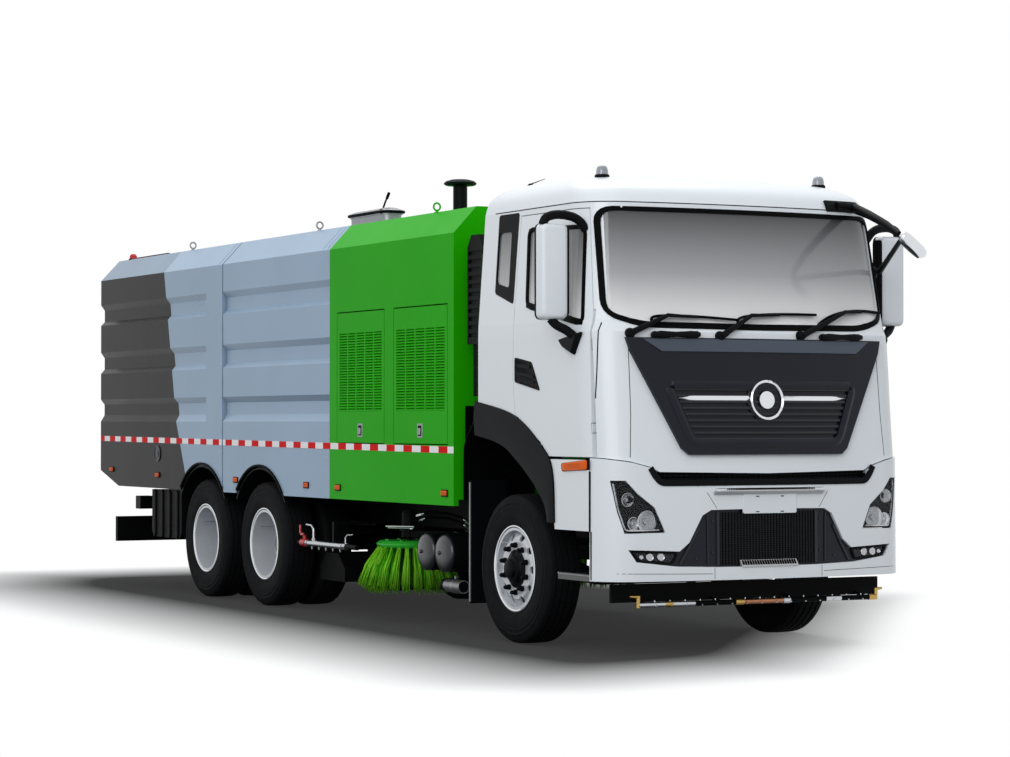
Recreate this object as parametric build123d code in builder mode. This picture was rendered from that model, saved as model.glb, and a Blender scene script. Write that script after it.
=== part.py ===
"""Street sweeper truck: a three-axle tilt-cab truck that carries a wash-and-sweep body.

Millimetres. X points to the truck's left, Y to the rear, Z up from the ground.
The origin is on the ground under the middle of the truck. A distance that a comment calls
"aft" is counted rearwards from the front axle; aft(d) turns it into a Y.
"""

import math
import os

from build123d import *

# ---------------------------------------------------------------- overall
FRONT_REACH = 1895          # head of the look-down mirror, ahead of the front axle
REAR_REACH = 8520           # tail of the body, behind the front axle
BODY_HALF = 1250            # half of the width over cab and body
FRONT_AXLE_Y = (FRONT_REACH - REAR_REACH) / 2
WHEELBASE = 4480            # front axle to first rear axle
TANDEM = 1340               # between the two rear axles
RUN_GAP = 0.3               # between a pin and its bore, or a piece and its rest
PANEL_GAP = 6               # between a door and its frame


def aft(distance):
    """Y of a point this far behind the front axle."""
    return FRONT_AXLE_Y + distance


def inboard(distance):
    """Distance from the truck's middle of a point this far in from the body's side."""
    return BODY_HALF - distance


BEYOND = BODY_HALF + 150     # past the sides, where a cut ends


REAR_AXLES_Y = {"2": aft(WHEELBASE), "3": aft(WHEELBASE + TANDEM)}

# ---------------------------------------------------------------- wheels
TYRE_R = 530
TYRE_W = 280
SEAT_R = 286                # tyre bead on the rim
FLANGE_R = 306
BARREL_R = 272              # inside of the rim's barrel
SEAT_HALF = 112             # half the distance between the rim's flanges
AXLE_Z = TYRE_R
FRONT_WHEEL_X = 1045        # middle of the front tyre
TWIN_OUTER_X = 1078         # middle of the outer rear tyre
TWIN_SPACING = 335
KINGPIN_X = 850
KINGPIN_R = 22
SPINDLE_R = 45
HUB_R = 95
HAND_HOLES = 10

# ---------------------------------------------------------------- chassis
RAIL_OUT = 430              # outer face of a frame rail
RAIL_FLANGE = 80
RAIL_T = 10
RAIL_Z = (720, 1000)
RAIL_Y = (aft(-1150), aft(REAR_REACH - 460))
BEAM_TOP = 600              # spring seat on the front axle
TIP_HINGE_Y = aft(REAR_REACH - 520)
TIP_HINGE_Z = 1065
TIP_PIN_R = 25
ROD_PIN_R = 20
TIP_REACH = 1250            # tip hinge to the cylinders' pins, above and below
TIP_OPEN = 31               # angle between the two at rest, degrees
TIP_RISE = 2.5              # upper pin above the hinge, degrees
ARM_PIN_R = 25              # pin that a brush arm swings on
BRUSH = (-840, aft(2390))
ARM_PIVOT = (-560, aft(1780))
ARM_Z = (660, 712)

# ---------------------------------------------------------------- cab
BOW_R = 6500                # bow of the cab's front in plan
CORNER_R = 300              # round of the cab's front corners in plan
CAB_REAR = 410
CAB_WALL = 60
# level Z, half width, front centre (aft)
CAB_LEVELS = [(1205, BODY_HALF, -1480), (2180, BODY_HALF, -1385), (2260, inboard(2), -1345),
              (3064, inboard(60), -1198)]
# level Z, half width, front centre (aft), rear edge (aft)
ROOF_LEVELS = [(3064, inboard(60), -1198, 410), (3170, inboard(100), -1120, 380),
               (3240, inboard(190), -950, 250), (3280, inboard(350), -700, 50)]
BUMPER_LEVELS = [(505, BODY_HALF, -1500), (1345, BODY_HALF, -1490)]
FLOOR_Z = (1440, 1480)
# lower edge of the hood and the corner panels: X, Z
HOOD_EDGE = [(1300, 1340), (1200, 1332), (1037, 1308), (900, 1272), (830, 1236), (0, 1222)]
# door outline: aft, Z
DOOR = [(-1207, 1100), (-640, 1100), (-640, 1338), (-540, 1425), (-160, 1625), (-122, 1867),
        (-150, 3020), (-1014, 3020), (-1144, 2303), (-1207, 1338)]
DOOR_WINDOW = [(-1085, 2225), (-1010, 2900), (-265, 2925), (-300, 2375)]
QUARTER_WINDOW = [(180, 3000), (-95, 3000), (-85, 2420), (175, 2500)]
# the door's leaning hinge axis passes through these points: X from the middle, aft, Z
DOOR_AXIS = [(inboard(38), -1180, 1530), (inboard(60), -1130, 2090)]
DOOR_PIN_R = 5
DOOR_SWEEP_R = 48           # room in the pillar for the door's front edge as it turns
ENGINE_PIN_R = 5
WINDSCREEN = [(-inboard(178), 3020), (inboard(178), 3020), (inboard(142), 2290),
              (inboard(350), 2228), (0, 2218), (-inboard(350), 2228), (-inboard(142), 2290)]
HEADLAMP = [(inboard(87), 1179), (inboard(173), 1180), (inboard(250), 1093),
            (inboard(374), 997), (inboard(450), 830), (inboard(164), 826), (inboard(122), 971)]
MOUTH = [(inboard(186), 718), (698, 703), (626, 761), (526, 942), (460, 978), (0, 984)]
MOUTH_LOW = [(0, 590), (415, 593), (723, 602), (inboard(239), 636)]
# wheel-arch flare: aft, Z
FLARE_OUT = [(446, 1705), (-136, 1606), (-517, 1412), (-690, 1242), (-722, 880)]
FLARE_IN = [(-650, 880), (-600, 1020), (-371, 1202), (-1, 1408), (446, 1485)]

# ---------------------------------------------------------------- body
BODY_FRONT = aft(803)
TANK_FRONT = aft(3022)
TANK_REAR = aft(WHEELBASE + 830)
BIN_FRONT = aft(WHEELBASE + 857)
BODY_REAR = aft(REAR_REACH)
BODY_Z = (954, 3168)
SHOULDER_Z = 2966           # where the side turns into the roof's slope
ROOF_HALF = inboard(189)
BODY_WALL = 60
SKIRT_T = 40
DECK_Z = (1215, 1255)       # floor of tank and bin, over the wheels
ARCH_R = 679
RIB_Z = [(2725, 2672, 2562, 2522), (2257, 2204, 2092, 2048), (1795, 1744, 1640, 1577)]
RIB_DEPTH = 38
HOUSING_FLOOR = 1000
# engine doors: front and rear edge (aft)
ENGINE_DOORS = [(910, 1822), (1999, 2872)]
ENGINE_DOOR_Z = (1408, 2441)
ENGINE_DOOR_T = 40
ENGINE_DOOR_GAP = 9
ENGINE_PIN = (BODY_HALF - 9, ENGINE_DOOR_Z[1] - 12)     # X and Z of a door's hinge line


# ================================================================ shapes
def block(x, y, z):
    """A box from its low and high bounds along each axis."""
    with BuildPart() as body:
        with Locations(((x[0] + x[1]) / 2, (y[0] + y[1]) / 2, (z[0] + z[1]) / 2)):
            Box(abs(x[1] - x[0]), abs(y[1] - y[0]), abs(z[1] - z[0]))
    return body.part


def outline_part(plane, points, amount, grow=0):
    """A prism of a closed outline drawn on a plane, grown all round by a gap."""
    with BuildPart() as body:
        with BuildSketch(plane):
            with BuildLine():
                Polyline(*points, close=True)
            make_face()
            if grow:
                offset(amount=grow, kind=Kind.INTERSECTION)
        extrude(amount=amount)
    return body.part


def side_prism(points, x, grow=0):
    """A prism across the truck; its outline is (aft, Z) points and x its low and high X."""
    outline = [(aft(distance), z) for distance, z in points]
    return outline_part(Plane.YZ.offset(x[0]), outline, x[1] - x[0], grow)


def side_prisms(points, inner, outer, grow=0):
    """The same prism on both sides of the truck, between two distances from its middle."""
    return [side_prism(points, (-outer, -inner), grow), side_prism(points, (inner, outer), grow)]


def front_prism(points, y):
    """A prism along the truck; its outline is (X, Z) points and y its low and high Y."""
    return outline_part(Plane.XZ.offset(-y[0]), points, y[0] - y[1])


def rod(start, end, radius):
    """A round bar between two points."""
    path = Vector(*end) - Vector(*start)
    with BuildPart() as body:
        with BuildSketch(Plane(origin=start, z_dir=path.normalized())):
            Circle(radius)
        extrude(amount=path.length)
    return body.part


def pipe(points, radius, bend):
    """A round pipe along straight runs joined by bends of one radius."""
    with BuildPart() as body:
        with BuildLine() as path:
            FilletPolyline(*points, radius=bend)
        with BuildSketch(Plane(origin=path.line @ 0, z_dir=path.line % 0)):
            Circle(radius)
        sweep()
    return body.part


def turned(profile, x, y, z):
    """A body of revolution about an axis along X; the profile is (X, radius) points."""
    with BuildPart() as body:
        with BuildSketch(Plane.XY):
            with BuildLine():
                Polyline(*profile, close=True)
            make_face()
        revolve(axis=Axis.X)
    return body.part.moved(Location((x, y, z)))


def mirrored(part):
    """The same part on the truck's other side."""
    return mirror(part, about=Plane.YZ)


def finish(name, part):
    """Label a piece and write it to its own file."""
    part.label = name
    export_step(part, f"parts/{name}.step")


def both_sides(outline):
    """A half outline from the right, closed by its mirror image: (X, Z) points from X > 0."""
    other = [(-x, z) for x, z in reversed(outline) if x]
    return outline + other


def plan_loft(levels, inset, rear):
    """A solid through the cab's plan outlines; inset shrinks them all round."""
    with BuildPart() as body:
        for z, half, nose, *own_rear in levels:
            back = aft(own_rear[0] if own_rear else rear) - inset
            bow_y = aft(nose) + BOW_R
            corner_x = half - CORNER_R
            corner_y = bow_y - math.sqrt((BOW_R - CORNER_R) ** 2 - corner_x**2)
            side_x = half - inset
            corner, bow = CORNER_R - inset, BOW_R - inset
            turn = math.atan2(bow_y - corner_y, corner_x)
            tangent = (bow * math.cos(turn), bow_y - bow * math.sin(turn))
            middle = (corner_x + corner * math.cos(turn / 2), corner_y - corner * math.sin(turn / 2))
            with BuildSketch(Plane.XY.offset(z)):
                with BuildLine():
                    Line((-side_x, back), (side_x, back))
                    Line((side_x, back), (side_x, corner_y))
                    ThreePointArc((side_x, corner_y), middle, tangent)
                    ThreePointArc(tangent, (0, bow_y - bow), (-tangent[0], tangent[1]))
                    ThreePointArc((-tangent[0], tangent[1]), (-middle[0], middle[1]),
                                  (-side_x, corner_y))
                    Line((-side_x, corner_y), (-side_x, back))
                make_face()
        loft(ruled=True)
    return body.part


def skin(levels, outer, inner, rear):
    """The layer of a plan loft between two insets."""
    return plan_loft(levels, outer, rear) - plan_loft(levels, inner, rear)


def body_section(inset, lift):
    """The body's cross-section outline: upright sides and sloped shoulders."""
    slope = inset * math.tan(math.pi / 8)
    return [(-BODY_HALF + inset, BODY_Z[0] + lift), (BODY_HALF - inset, BODY_Z[0] + lift),
            (BODY_HALF - inset, SHOULDER_Z - slope), (ROOF_HALF - slope, BODY_Z[1] - inset),
            (-ROOF_HALF + slope, BODY_Z[1] - inset), (-BODY_HALF + inset, SHOULDER_Z - slope)]


def rib_cuts(y):
    """The three pressed grooves along both sides of the body."""
    with BuildPart() as cuts:
        for upper, inner_upper, inner_lower, lower in RIB_Z:
            deep = BODY_HALF - RIB_DEPTH
            groove = front_prism([(BODY_HALF, upper), (deep, inner_upper), (deep, inner_lower),
                                  (BODY_HALF, lower), (BODY_HALF + 1, lower), (BODY_HALF + 1, upper)], y)
            add(groove)
            add(mirrored(groove))
    return cuts.part


def pair(part):
    """A piece and its mirror image as one part."""
    return Part() + [part, mirrored(part)]


os.makedirs("parts", exist_ok=True)

# ================================================================ wheels
tyre_profile = [(-SEAT_HALF, SEAT_R), (-SEAT_HALF, FLANGE_R), (-TYRE_W / 2, 400),
                (-TYRE_W / 2 + 14, 512), (-110, TYRE_R), (110, TYRE_R), (TYRE_W / 2 - 14, 512),
                (TYRE_W / 2, 400), (SEAT_HALF, FLANGE_R), (SEAT_HALF, SEAT_R)]


def barrel(x):
    """Profile of a rim's barrel and flanges about the middle of its tyre."""
    edge = SEAT_HALF + 12
    return [(x - edge, FLANGE_R), (x - SEAT_HALF, FLANGE_R), (x - SEAT_HALF, SEAT_R),
            (x + SEAT_HALF, SEAT_R), (x + SEAT_HALF, FLANGE_R), (x + edge, FLANGE_R),
            (x + edge, BARREL_R), (x - edge, BARREL_R)]


with BuildPart() as front_rim:
    add(turned(barrel(0), 0, 0, 0))
    add(turned([(-75, BARREL_R + 2), (-112, 215), (-112, 60), (-98, 60), (-98, 212), (-61, BARREL_R + 2)],
               0, 0, 0))
    add(turned([(-150, 0), (-150, 70), (-135, HUB_R), (100, HUB_R), (100, SPINDLE_R + RUN_GAP),
                (-70, SPINDLE_R + RUN_GAP), (-70, 0)], 0, 0, 0))
    with Locations(Plane.YZ):
        with PolarLocations(228, HAND_HOLES):
            Cylinder(27, 400, mode=Mode.SUBTRACT)

with BuildPart() as front_tyre:
    add(turned(tyre_profile, 0, 0, 0))

front_rim_right = front_rim.part.moved(Location((-FRONT_WHEEL_X, FRONT_AXLE_Y, AXLE_Z)))
front_tyre_right = front_tyre.part.moved(Location((-FRONT_WHEEL_X, FRONT_AXLE_Y, AXLE_Z)))
finish("rim_front_right", front_rim_right)
finish("rim_front_left", mirrored(front_rim_right))
finish("tyre_front_right", front_tyre_right)
finish("tyre_front_left", mirrored(front_tyre_right))

TWIN_INNER_X = TWIN_OUTER_X - TWIN_SPACING
TWIN_MIDDLE = (TWIN_OUTER_X + TWIN_INNER_X) / 2
with BuildPart() as twin_rim:
    for wheel_x in (-TWIN_OUTER_X, -TWIN_INNER_X):
        add(turned(barrel(wheel_x), 0, 0, 0))
    edge_out = -TWIN_OUTER_X + SEAT_HALF
    edge_in = -TWIN_INNER_X - SEAT_HALF
    add(turned([(edge_out - 20, SEAT_R), (edge_in + 20, SEAT_R), (edge_in + 20, BARREL_R - 8),
                (-TWIN_MIDDLE + 14, 240), (-TWIN_MIDDLE + 14, 60), (-TWIN_MIDDLE - 14, 60),
                (-TWIN_MIDDLE - 14, 240), (edge_out - 20, BARREL_R - 8)], 0, 0, 0))
    add(turned([(-1075, 0), (-1075, 70), (-1060, HUB_R), (-700, HUB_R), (-700, 205), (-620, 205),
                (-620, 50 + RUN_GAP), (-975, 50 + RUN_GAP), (-975, 0)], 0, 0, 0))
with BuildPart() as twin_tyre:
    add(turned(tyre_profile, -TWIN_OUTER_X, 0, 0))
    add(turned(tyre_profile, -TWIN_INNER_X, 0, 0))
for axle, axle_y in REAR_AXLES_Y.items():
    rim_right = twin_rim.part.moved(Location((0, axle_y, AXLE_Z)))
    tyre_right = twin_tyre.part.moved(Location((0, axle_y, AXLE_Z)))
    finish(f"rims_{axle}_right", rim_right)
    finish(f"rims_{axle}_left", mirrored(rim_right))
    finish(f"tyres_{axle}_right", tyre_right)
    finish(f"tyres_{axle}_left", mirrored(tyre_right))

# ================================================================ axles and steering
# The beam dips between its spring seats and carries an upright eye at each end.
with BuildPart() as front_axle:
    beam_half = [(0, 400), (500, 400), (700, 440), (KINGPIN_X - 40, 450), (KINGPIN_X - 40, 610),
                 (700, 590), (560, 520), (0, 520)]
    add(front_prism(both_sides(beam_half), (FRONT_AXLE_Y - 50, FRONT_AXLE_Y + 50)))
    for side in (-1, 1):
        with Locations((side * KINGPIN_X, FRONT_AXLE_Y, AXLE_Z)):
            Cylinder(50, 180)
            Cylinder(KINGPIN_R + RUN_GAP, 200, mode=Mode.SUBTRACT)
        add(block(sorted((side * (RAIL_OUT - RAIL_FLANGE), side * RAIL_OUT)),
                  (FRONT_AXLE_Y - 90, FRONT_AXLE_Y + 90), (500, BEAM_TOP)))
finish("front_axle", front_axle.part)

ARM_Y = FRONT_AXLE_Y + 210
with BuildPart() as knuckle:
    for ear_z in ((400, 436), (624, 660)):
        add(block((-KINGPIN_X - 80, -KINGPIN_X + 45), (FRONT_AXLE_Y - 45, FRONT_AXLE_Y + 45), ear_z))
    add(block((-KINGPIN_X - 88, -KINGPIN_X - 56), (FRONT_AXLE_Y - 60, FRONT_AXLE_Y + 60), (400, 660)))
    add(rod((-KINGPIN_X, FRONT_AXLE_Y, 401), (-KINGPIN_X, FRONT_AXLE_Y, 659), KINGPIN_R))
    add(rod((-KINGPIN_X - 60, FRONT_AXLE_Y, AXLE_Z), (-FRONT_WHEEL_X - 66, FRONT_AXLE_Y, AXLE_Z),
            SPINDLE_R))
    add(block((-KINGPIN_X - 20, -KINGPIN_X + 20), (FRONT_AXLE_Y + 40, ARM_Y + 25), (402, 432)))
    add(rod((-KINGPIN_X, ARM_Y, 432), (-KINGPIN_X, ARM_Y, 480), 12))
finish("knuckle_right", knuckle.part)
finish("knuckle_left", mirrored(knuckle.part))

with BuildPart() as tie_rod:
    add(rod((-KINGPIN_X + 20, ARM_Y, 458), (KINGPIN_X - 20, ARM_Y, 458), 17))
    for side in (-1, 1):
        with Locations((side * KINGPIN_X, ARM_Y, 458)):
            Cylinder(27, 40)
            Cylinder(12 + RUN_GAP, 60, mode=Mode.SUBTRACT)
finish("tie_rod", tie_rod.part)

AXLE_TUBE_R = 70
SPRING_X = (470, 560)
PAD_TOP = 640
PAD_HALF = 70
with BuildPart() as rear_axles:
    for axle_y in REAR_AXLES_Y.values():
        add(rod((-612, axle_y, AXLE_Z), (612, axle_y, AXLE_Z), AXLE_TUBE_R))
        add(rod((-970, axle_y, AXLE_Z), (970, axle_y, AXLE_Z), 50))
        add(turned([(-175, 0), (-175, 90), (-70, 205), (70, 205), (175, 90), (175, 0)],
                   0, axle_y, AXLE_Z + 10))
        add(rod((0, axle_y - 330, AXLE_Z + 70), (0, axle_y, AXLE_Z + 70), 75))
        for side in (-1, 1):
            add(block(sorted((side * SPRING_X[0], side * SPRING_X[1])), (axle_y - PAD_HALF, axle_y + PAD_HALF),
                      (AXLE_Z, PAD_TOP)))
    add(rod((0, REAR_AXLES_Y["2"], AXLE_Z + 70), (0, REAR_AXLES_Y["3"] - 300, AXLE_Z + 70), 50))
finish("rear_axles", rear_axles.part)

# Leaf packs: one on each side of the front axle, one across each side of the tandem.
bogie = WHEELBASE + TANDEM / 2
half_bogie = TANDEM / 2
FRONT_LEAF = [(-700, 720), (-700, 690), (-560, 640), (-90, 600), (90, 600), (560, 640), (700, 690),
              (700, 720), (650, 720), (540, 680), (90, 660), (-90, 660), (-540, 680), (-650, 720)]
REAR_LEAF = [(-half_bogie - PAD_HALF, PAD_TOP), (-half_bogie + PAD_HALF, PAD_TOP), (-160, 560),
             (160, 560), (half_bogie - PAD_HALF, PAD_TOP), (half_bogie + PAD_HALF, PAD_TOP),
             (half_bogie + PAD_HALF, 664), (160, 705), (-160, 705), (-half_bogie - PAD_HALF, 664)]
with BuildPart() as springs:
    front_leaf = side_prism(FRONT_LEAF, (-RAIL_OUT, -RAIL_OUT + RAIL_FLANGE))
    rear_leaf = side_prism([(bogie + d, z) for d, z in REAR_LEAF], (-SPRING_X[1], -SPRING_X[0]))
    saddle = side_prism([(bogie - 120, 540), (bogie + 120, 540), (bogie + 120, 880),
                         (bogie - 120, 880)], (-SPRING_X[1] - 20, -RAIL_OUT))
    add(pair(front_leaf))
    add(pair(rear_leaf + saddle))
finish("springs", springs.part)

# ================================================================ frame


def tip_point(angle):
    """Y and Z of a point TIP_REACH ahead of the tip hinge, raised by this many degrees."""
    turn = math.radians(angle)
    return (TIP_HINGE_Y - TIP_REACH * math.cos(turn), TIP_HINGE_Z + TIP_REACH * math.sin(turn))


# Both pins of a tipping cylinder lie at the same distance from the hinge, so the cylinder
# leans by half the angle that the bin tips through.
UPPER_PIN = tip_point(TIP_RISE)
LOWER_PIN = tip_point(TIP_RISE - TIP_OPEN)
CYLINDER_X = (345, 375)     # inner and outer face of the trunnion brackets
CYLINDER_MID = 255
TRUNNION_END = CYLINDER_MID + 58
TRUNNION_R = 22

with BuildPart() as chassis_frame:
    for side in (-1, 1):
        web = side * RAIL_OUT
        lip = side * (RAIL_OUT - RAIL_FLANGE)
        inner = side * (RAIL_OUT - RAIL_T)
        add(front_prism([(web, RAIL_Z[0]), (web, RAIL_Z[1]), (lip, RAIL_Z[1]),
                         (lip, RAIL_Z[1] - RAIL_T), (inner, RAIL_Z[1] - RAIL_T),
                         (inner, RAIL_Z[0] + RAIL_T), (lip, RAIL_Z[0] + RAIL_T), (lip, RAIL_Z[0])],
                        RAIL_Y))
        plate = sorted((side * RAIL_OUT, side * (RAIL_OUT + 25)))
        add(block(plate, (TIP_HINGE_Y - 60, TIP_HINGE_Y + 60), (860, TIP_HINGE_Z + 50)))
        add(rod((side * (RAIL_OUT + 20), TIP_HINGE_Y, TIP_HINGE_Z),
                (side * (RAIL_OUT - RAIL_FLANGE + 5), TIP_HINGE_Y, TIP_HINGE_Z), TIP_PIN_R))
    for distance in (-1110, 1500, 3450, bogie, WHEELBASE + TANDEM + 780, REAR_REACH - 570):
        add(block((-RAIL_OUT + RAIL_T, RAIL_OUT - RAIL_T), (aft(distance) - 40, aft(distance) + 40),
                  (RAIL_Z[0] + 40, RAIL_Z[1] - 40)))
    # trunnion brackets of the tipping cylinders, and forks for the brush arms' pins
    for side in (-1, 1):
        add(block(sorted((side * CYLINDER_X[0], side * CYLINDER_X[1])),
                  (LOWER_PIN[0] - 50, LOWER_PIN[0] + 50), (LOWER_PIN[1] - 45, RAIL_Z[0])))
        add(rod((side * CYLINDER_X[0], *LOWER_PIN), (side * TRUNNION_END, *LOWER_PIN), TRUNNION_R))
        fork_x = sorted((side * (-ARM_PIVOT[0] + 45), side * RAIL_OUT))
        fork_y = (ARM_PIVOT[1] - 40, ARM_PIVOT[1] + 40)
        add(block(fork_x, fork_y, (ARM_Z[1] + 6, ARM_Z[1] + 26)))
        add(block(fork_x, fork_y, (ARM_Z[0] - 30, ARM_Z[0] - 6)))
        add(block(sorted((side * (RAIL_OUT + 25), side * RAIL_OUT)), fork_y,
                  (ARM_Z[0] - 30, ARM_Z[1] + 26)))
        add(rod((-side * ARM_PIVOT[0], ARM_PIVOT[1], ARM_Z[0] - 28),
                (-side * ARM_PIVOT[0], ARM_PIVOT[1], ARM_Z[1] + 24), ARM_PIN_R))
finish("chassis_frame", chassis_frame.part)

# ================================================================ driveline
ENGINE = ((-330, 330), (aft(-900), aft(450)), (640, 1400))
SHAFT_Z = AXLE_Z + 70
with BuildPart() as driveline:
    add(block(*ENGINE))
    add(block((-RAIL_OUT + RAIL_T, RAIL_OUT - RAIL_T), (aft(-380), aft(-280)), (760, 860)))
    add(block((-180, 180), (aft(450), aft(1250)), (540, 940)))
    add(rod((0, aft(1250), SHAFT_Z), (0, REAR_AXLES_Y["2"] - 330, SHAFT_Z), 50))
    # exhaust: silencer on the right, pipe out under the body's edge
    add(block((-560, -180), (aft(800), aft(860)), (600, 640)))
    add(rod((-640, aft(700), 600), (-640, aft(1000), 600), 105))
    add(pipe([(-640, aft(850), 520), (-640, aft(850), 335), (-640, aft(1500), 335),
              (-1000, aft(1500), 335), (-1000, aft(1130), 335)], 47, 90))
    # the sweeper's own engine stands in the housing behind the cab
    add(block((-350, 350), (aft(1150), aft(2350)), (HOUSING_FLOOR + 40, 1950)))
finish("driveline", driveline.part)

# ================================================================ cab
hood_cut = front_prism([(BEYOND, 1000)] + both_sides(HOOD_EDGE) + [(-BEYOND, 1000)],
                       (aft(-2000), aft(1000)))
flare_rooms = side_prisms([(700, FLARE_OUT[0][1])] + FLARE_OUT + [(700, 880)], 880, BEYOND)
hood_window = front_prism([(1000, 2140), (1037, 1100), (-1037, 1100), (-1000, 2140)],
                          (aft(-2000), aft(-1150)))
windscreen_cut = front_prism(WINDSCREEN, (aft(-2000), aft(-850)))
right_side = (-BEYOND, -900)
door_prism = side_prism(DOOR, right_side)
window_prism = side_prism(DOOR_WINDOW, right_side)
quarter_prism = side_prism(QUARTER_WINDOW, right_side)


door_frames = side_prisms(DOOR, 900, 1400, PANEL_GAP)
below_floor = block((-900, 900), (aft(0), aft(CAB_REAR + 10)), (1000, FLOOR_Z[0]))
cab_shell = skin(CAB_LEVELS, 0, CAB_WALL, CAB_REAR) - hood_cut - flare_rooms - below_floor

# Door hinge: at two heights an arm reaches out from inside the pillar to an upright pin.
ARM_HALF = 30
ARM_T = 20
hinge_low, hinge_high = [Vector(-x, aft(distance), z) for x, distance, z in DOOR_AXIS]
hinge_run = (hinge_high - hinge_low).normalized()


def hinge_pins(radius, reach):
    """The two pins of the right-hand door along its leaning axis."""
    pins = [rod(at - hinge_run * reach, at + hinge_run * reach, radius)
            for at in (hinge_low, hinge_high)]
    return Part() + pins


def hinge_arms():
    """The pillar's arms, bent so that the door's front edge can turn past them."""
    with BuildPart() as arms:
        for at in (hinge_low, hinge_high):
            z = (at.Z - ARM_HALF, at.Z + ARM_HALF)
            add(rod((at.X, at.Y, z[0]), (at.X, at.Y, z[1]), ARM_T / 2))
            add(block((at.X, at.X + 62), (at.Y - ARM_T / 2, at.Y + ARM_T / 2), z))
            add(block((at.X + 40, at.X + 62), (at.Y - 90, at.Y + ARM_T / 2), z))
    return arms.part


def hinge_rooms():
    """The room that the arms need inside the door."""
    with BuildPart() as rooms:
        for at in (hinge_low, hinge_high):
            add(block((at.X - 14, at.X + 80), (at.Y - 60, at.Y + 18),
                      (at.Z - ARM_HALF - 6, at.Z + ARM_HALF + 6)))
    return rooms.part


with BuildPart() as cab_body:
    add(cab_shell)
    add(hood_window, mode=Mode.SUBTRACT)
    add(windscreen_cut, mode=Mode.SUBTRACT)
    add(door_frames, mode=Mode.SUBTRACT)
    add(side_prisms(QUARTER_WINDOW, 900, BEYOND), mode=Mode.SUBTRACT)
    floor = block((-1190, 1190), (aft(-1150), aft(CAB_REAR - CAB_WALL)), FLOOR_Z)
    add(floor - flare_rooms - door_frames)
    sweep_room = rod(hinge_low - hinge_run * 220, hinge_high + hinge_run * 240, DOOR_SWEEP_R)
    add([sweep_room, mirrored(sweep_room)], mode=Mode.SUBTRACT)
    add(pair(hinge_arms() + hinge_pins(DOOR_PIN_R, ARM_HALF + 40)))
finish("cab_body", cab_body.part)

with BuildPart() as door:
    add(cab_shell)
    add(door_prism, mode=Mode.INTERSECT)
    add(window_prism, mode=Mode.SUBTRACT)
    add(hinge_rooms(), mode=Mode.SUBTRACT)
    add(hinge_pins(DOOR_PIN_R + RUN_GAP, ARM_HALF + 42), mode=Mode.SUBTRACT)
finish("door_right", door.part)
finish("door_left", mirrored(door.part))

# Glass lies flush in its opening, a little behind the paint.
pane = skin(CAB_LEVELS, 8, 18, CAB_REAR)
with BuildPart() as cab_glass:
    add(pane & windscreen_cut)
    add(pair(pane & quarter_prism))
finish("cab_glass", cab_glass.part)
with BuildPart() as door_glass:
    add(pane)
    add(window_prism, mode=Mode.INTERSECT)
finish("door_glass_right", door_glass.part)
finish("door_glass_left", mirrored(door_glass.part))

with BuildPart() as cab_roof:
    add(plan_loft(ROOF_LEVELS, 0, CAB_REAR))
    inside = [(z - 45 if z > ROOF_LEVELS[0][0] else z, half, nose, rear)
              for z, half, nose, rear in ROOF_LEVELS]
    add(plan_loft(inside, 60, CAB_REAR), mode=Mode.SUBTRACT)
finish("cab_roof", cab_roof.part)

with BuildPart() as hood:
    add(skin(CAB_LEVELS, 0, CAB_WALL, CAB_REAR) - hood_cut)
    add(hood_window, mode=Mode.INTERSECT)
finish("hood", hood.part)

# The dark grille panel stands proud of the hood and tapers downwards.
PANEL_PROUD = 28
panel_half = [(1036, 2140), (1010, 2050), (670, 1390), (620, 1350)]
panel_prism = front_prism(both_sides(panel_half), (aft(-2000), aft(-1100)))
GRILLE = [(735, 1815), (572, 1435)]         # half of the opening: X, Z
GRILLE_BACK = -8
SLATS = 9


def slat_outline(number):
    """Outline of one slat across the opening, from its ends' rise to its thickness."""
    (top_x, top_z), (low_x, low_z) = GRILLE
    pitch = (top_z - low_z) / SLATS
    z = top_z - pitch * (number + 0.75)
    half = low_x + (top_x - low_x) * (z - low_z) / (top_z - low_z) + 10
    return [(-half, z), (half, z), (half, z + pitch / 2), (-half, z + pitch / 2)]


along_hood = (aft(-2000), aft(-1100))
slats = [front_prism(slat_outline(number), along_hood) for number in range(SLATS)]
with BuildPart() as grille_panel:
    add(skin(CAB_LEVELS, -PANEL_PROUD, 0, CAB_REAR))
    add(panel_prism, mode=Mode.INTERSECT)
    grille_room = skin(CAB_LEVELS, -PANEL_PROUD - 5, GRILLE_BACK, CAB_REAR)
    add(grille_room & front_prism(both_sides(GRILLE), along_hood), mode=Mode.SUBTRACT)
    slat_layer = skin(CAB_LEVELS, -PANEL_PROUD + 6, GRILLE_BACK + 1, CAB_REAR)
    add([slat_layer & slat for slat in slats])

# ---------------------------------------------------------------- bumper
MOUTH_DEPTH = aft(-1150)
mouth_prism = front_prism(both_sides(MOUTH_LOW + MOUTH), (aft(-2000), MOUTH_DEPTH))
lamp_prism = front_prism(HEADLAMP, (aft(-2000), MOUTH_DEPTH))
slot_prism = front_prism([(-850, 1170), (850, 1170), (900, 1400), (-900, 1400)],
                         (aft(-2000), MOUTH_DEPTH))
WIDE = BODY_HALF + 50
bumper_top = front_prism([(WIDE, 1335), (1200, 1325), (1037, 1300), (900, 1264), (850, 1228),
                          (-850, 1228), (-900, 1264), (-1037, 1300), (-1200, 1325), (-WIDE, 1335),
                          (-WIDE, 1500), (WIDE, 1500)], (aft(-2000), aft(0)))
BUMPER_REAR = aft(-1195)
with BuildPart() as lower_grille:
    add(skin(BUMPER_LEVELS, 25, 45, CAB_REAR) & mouth_prism)
finish("grille_panel", Part() + [grille_panel.part, lower_grille.part])

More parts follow.
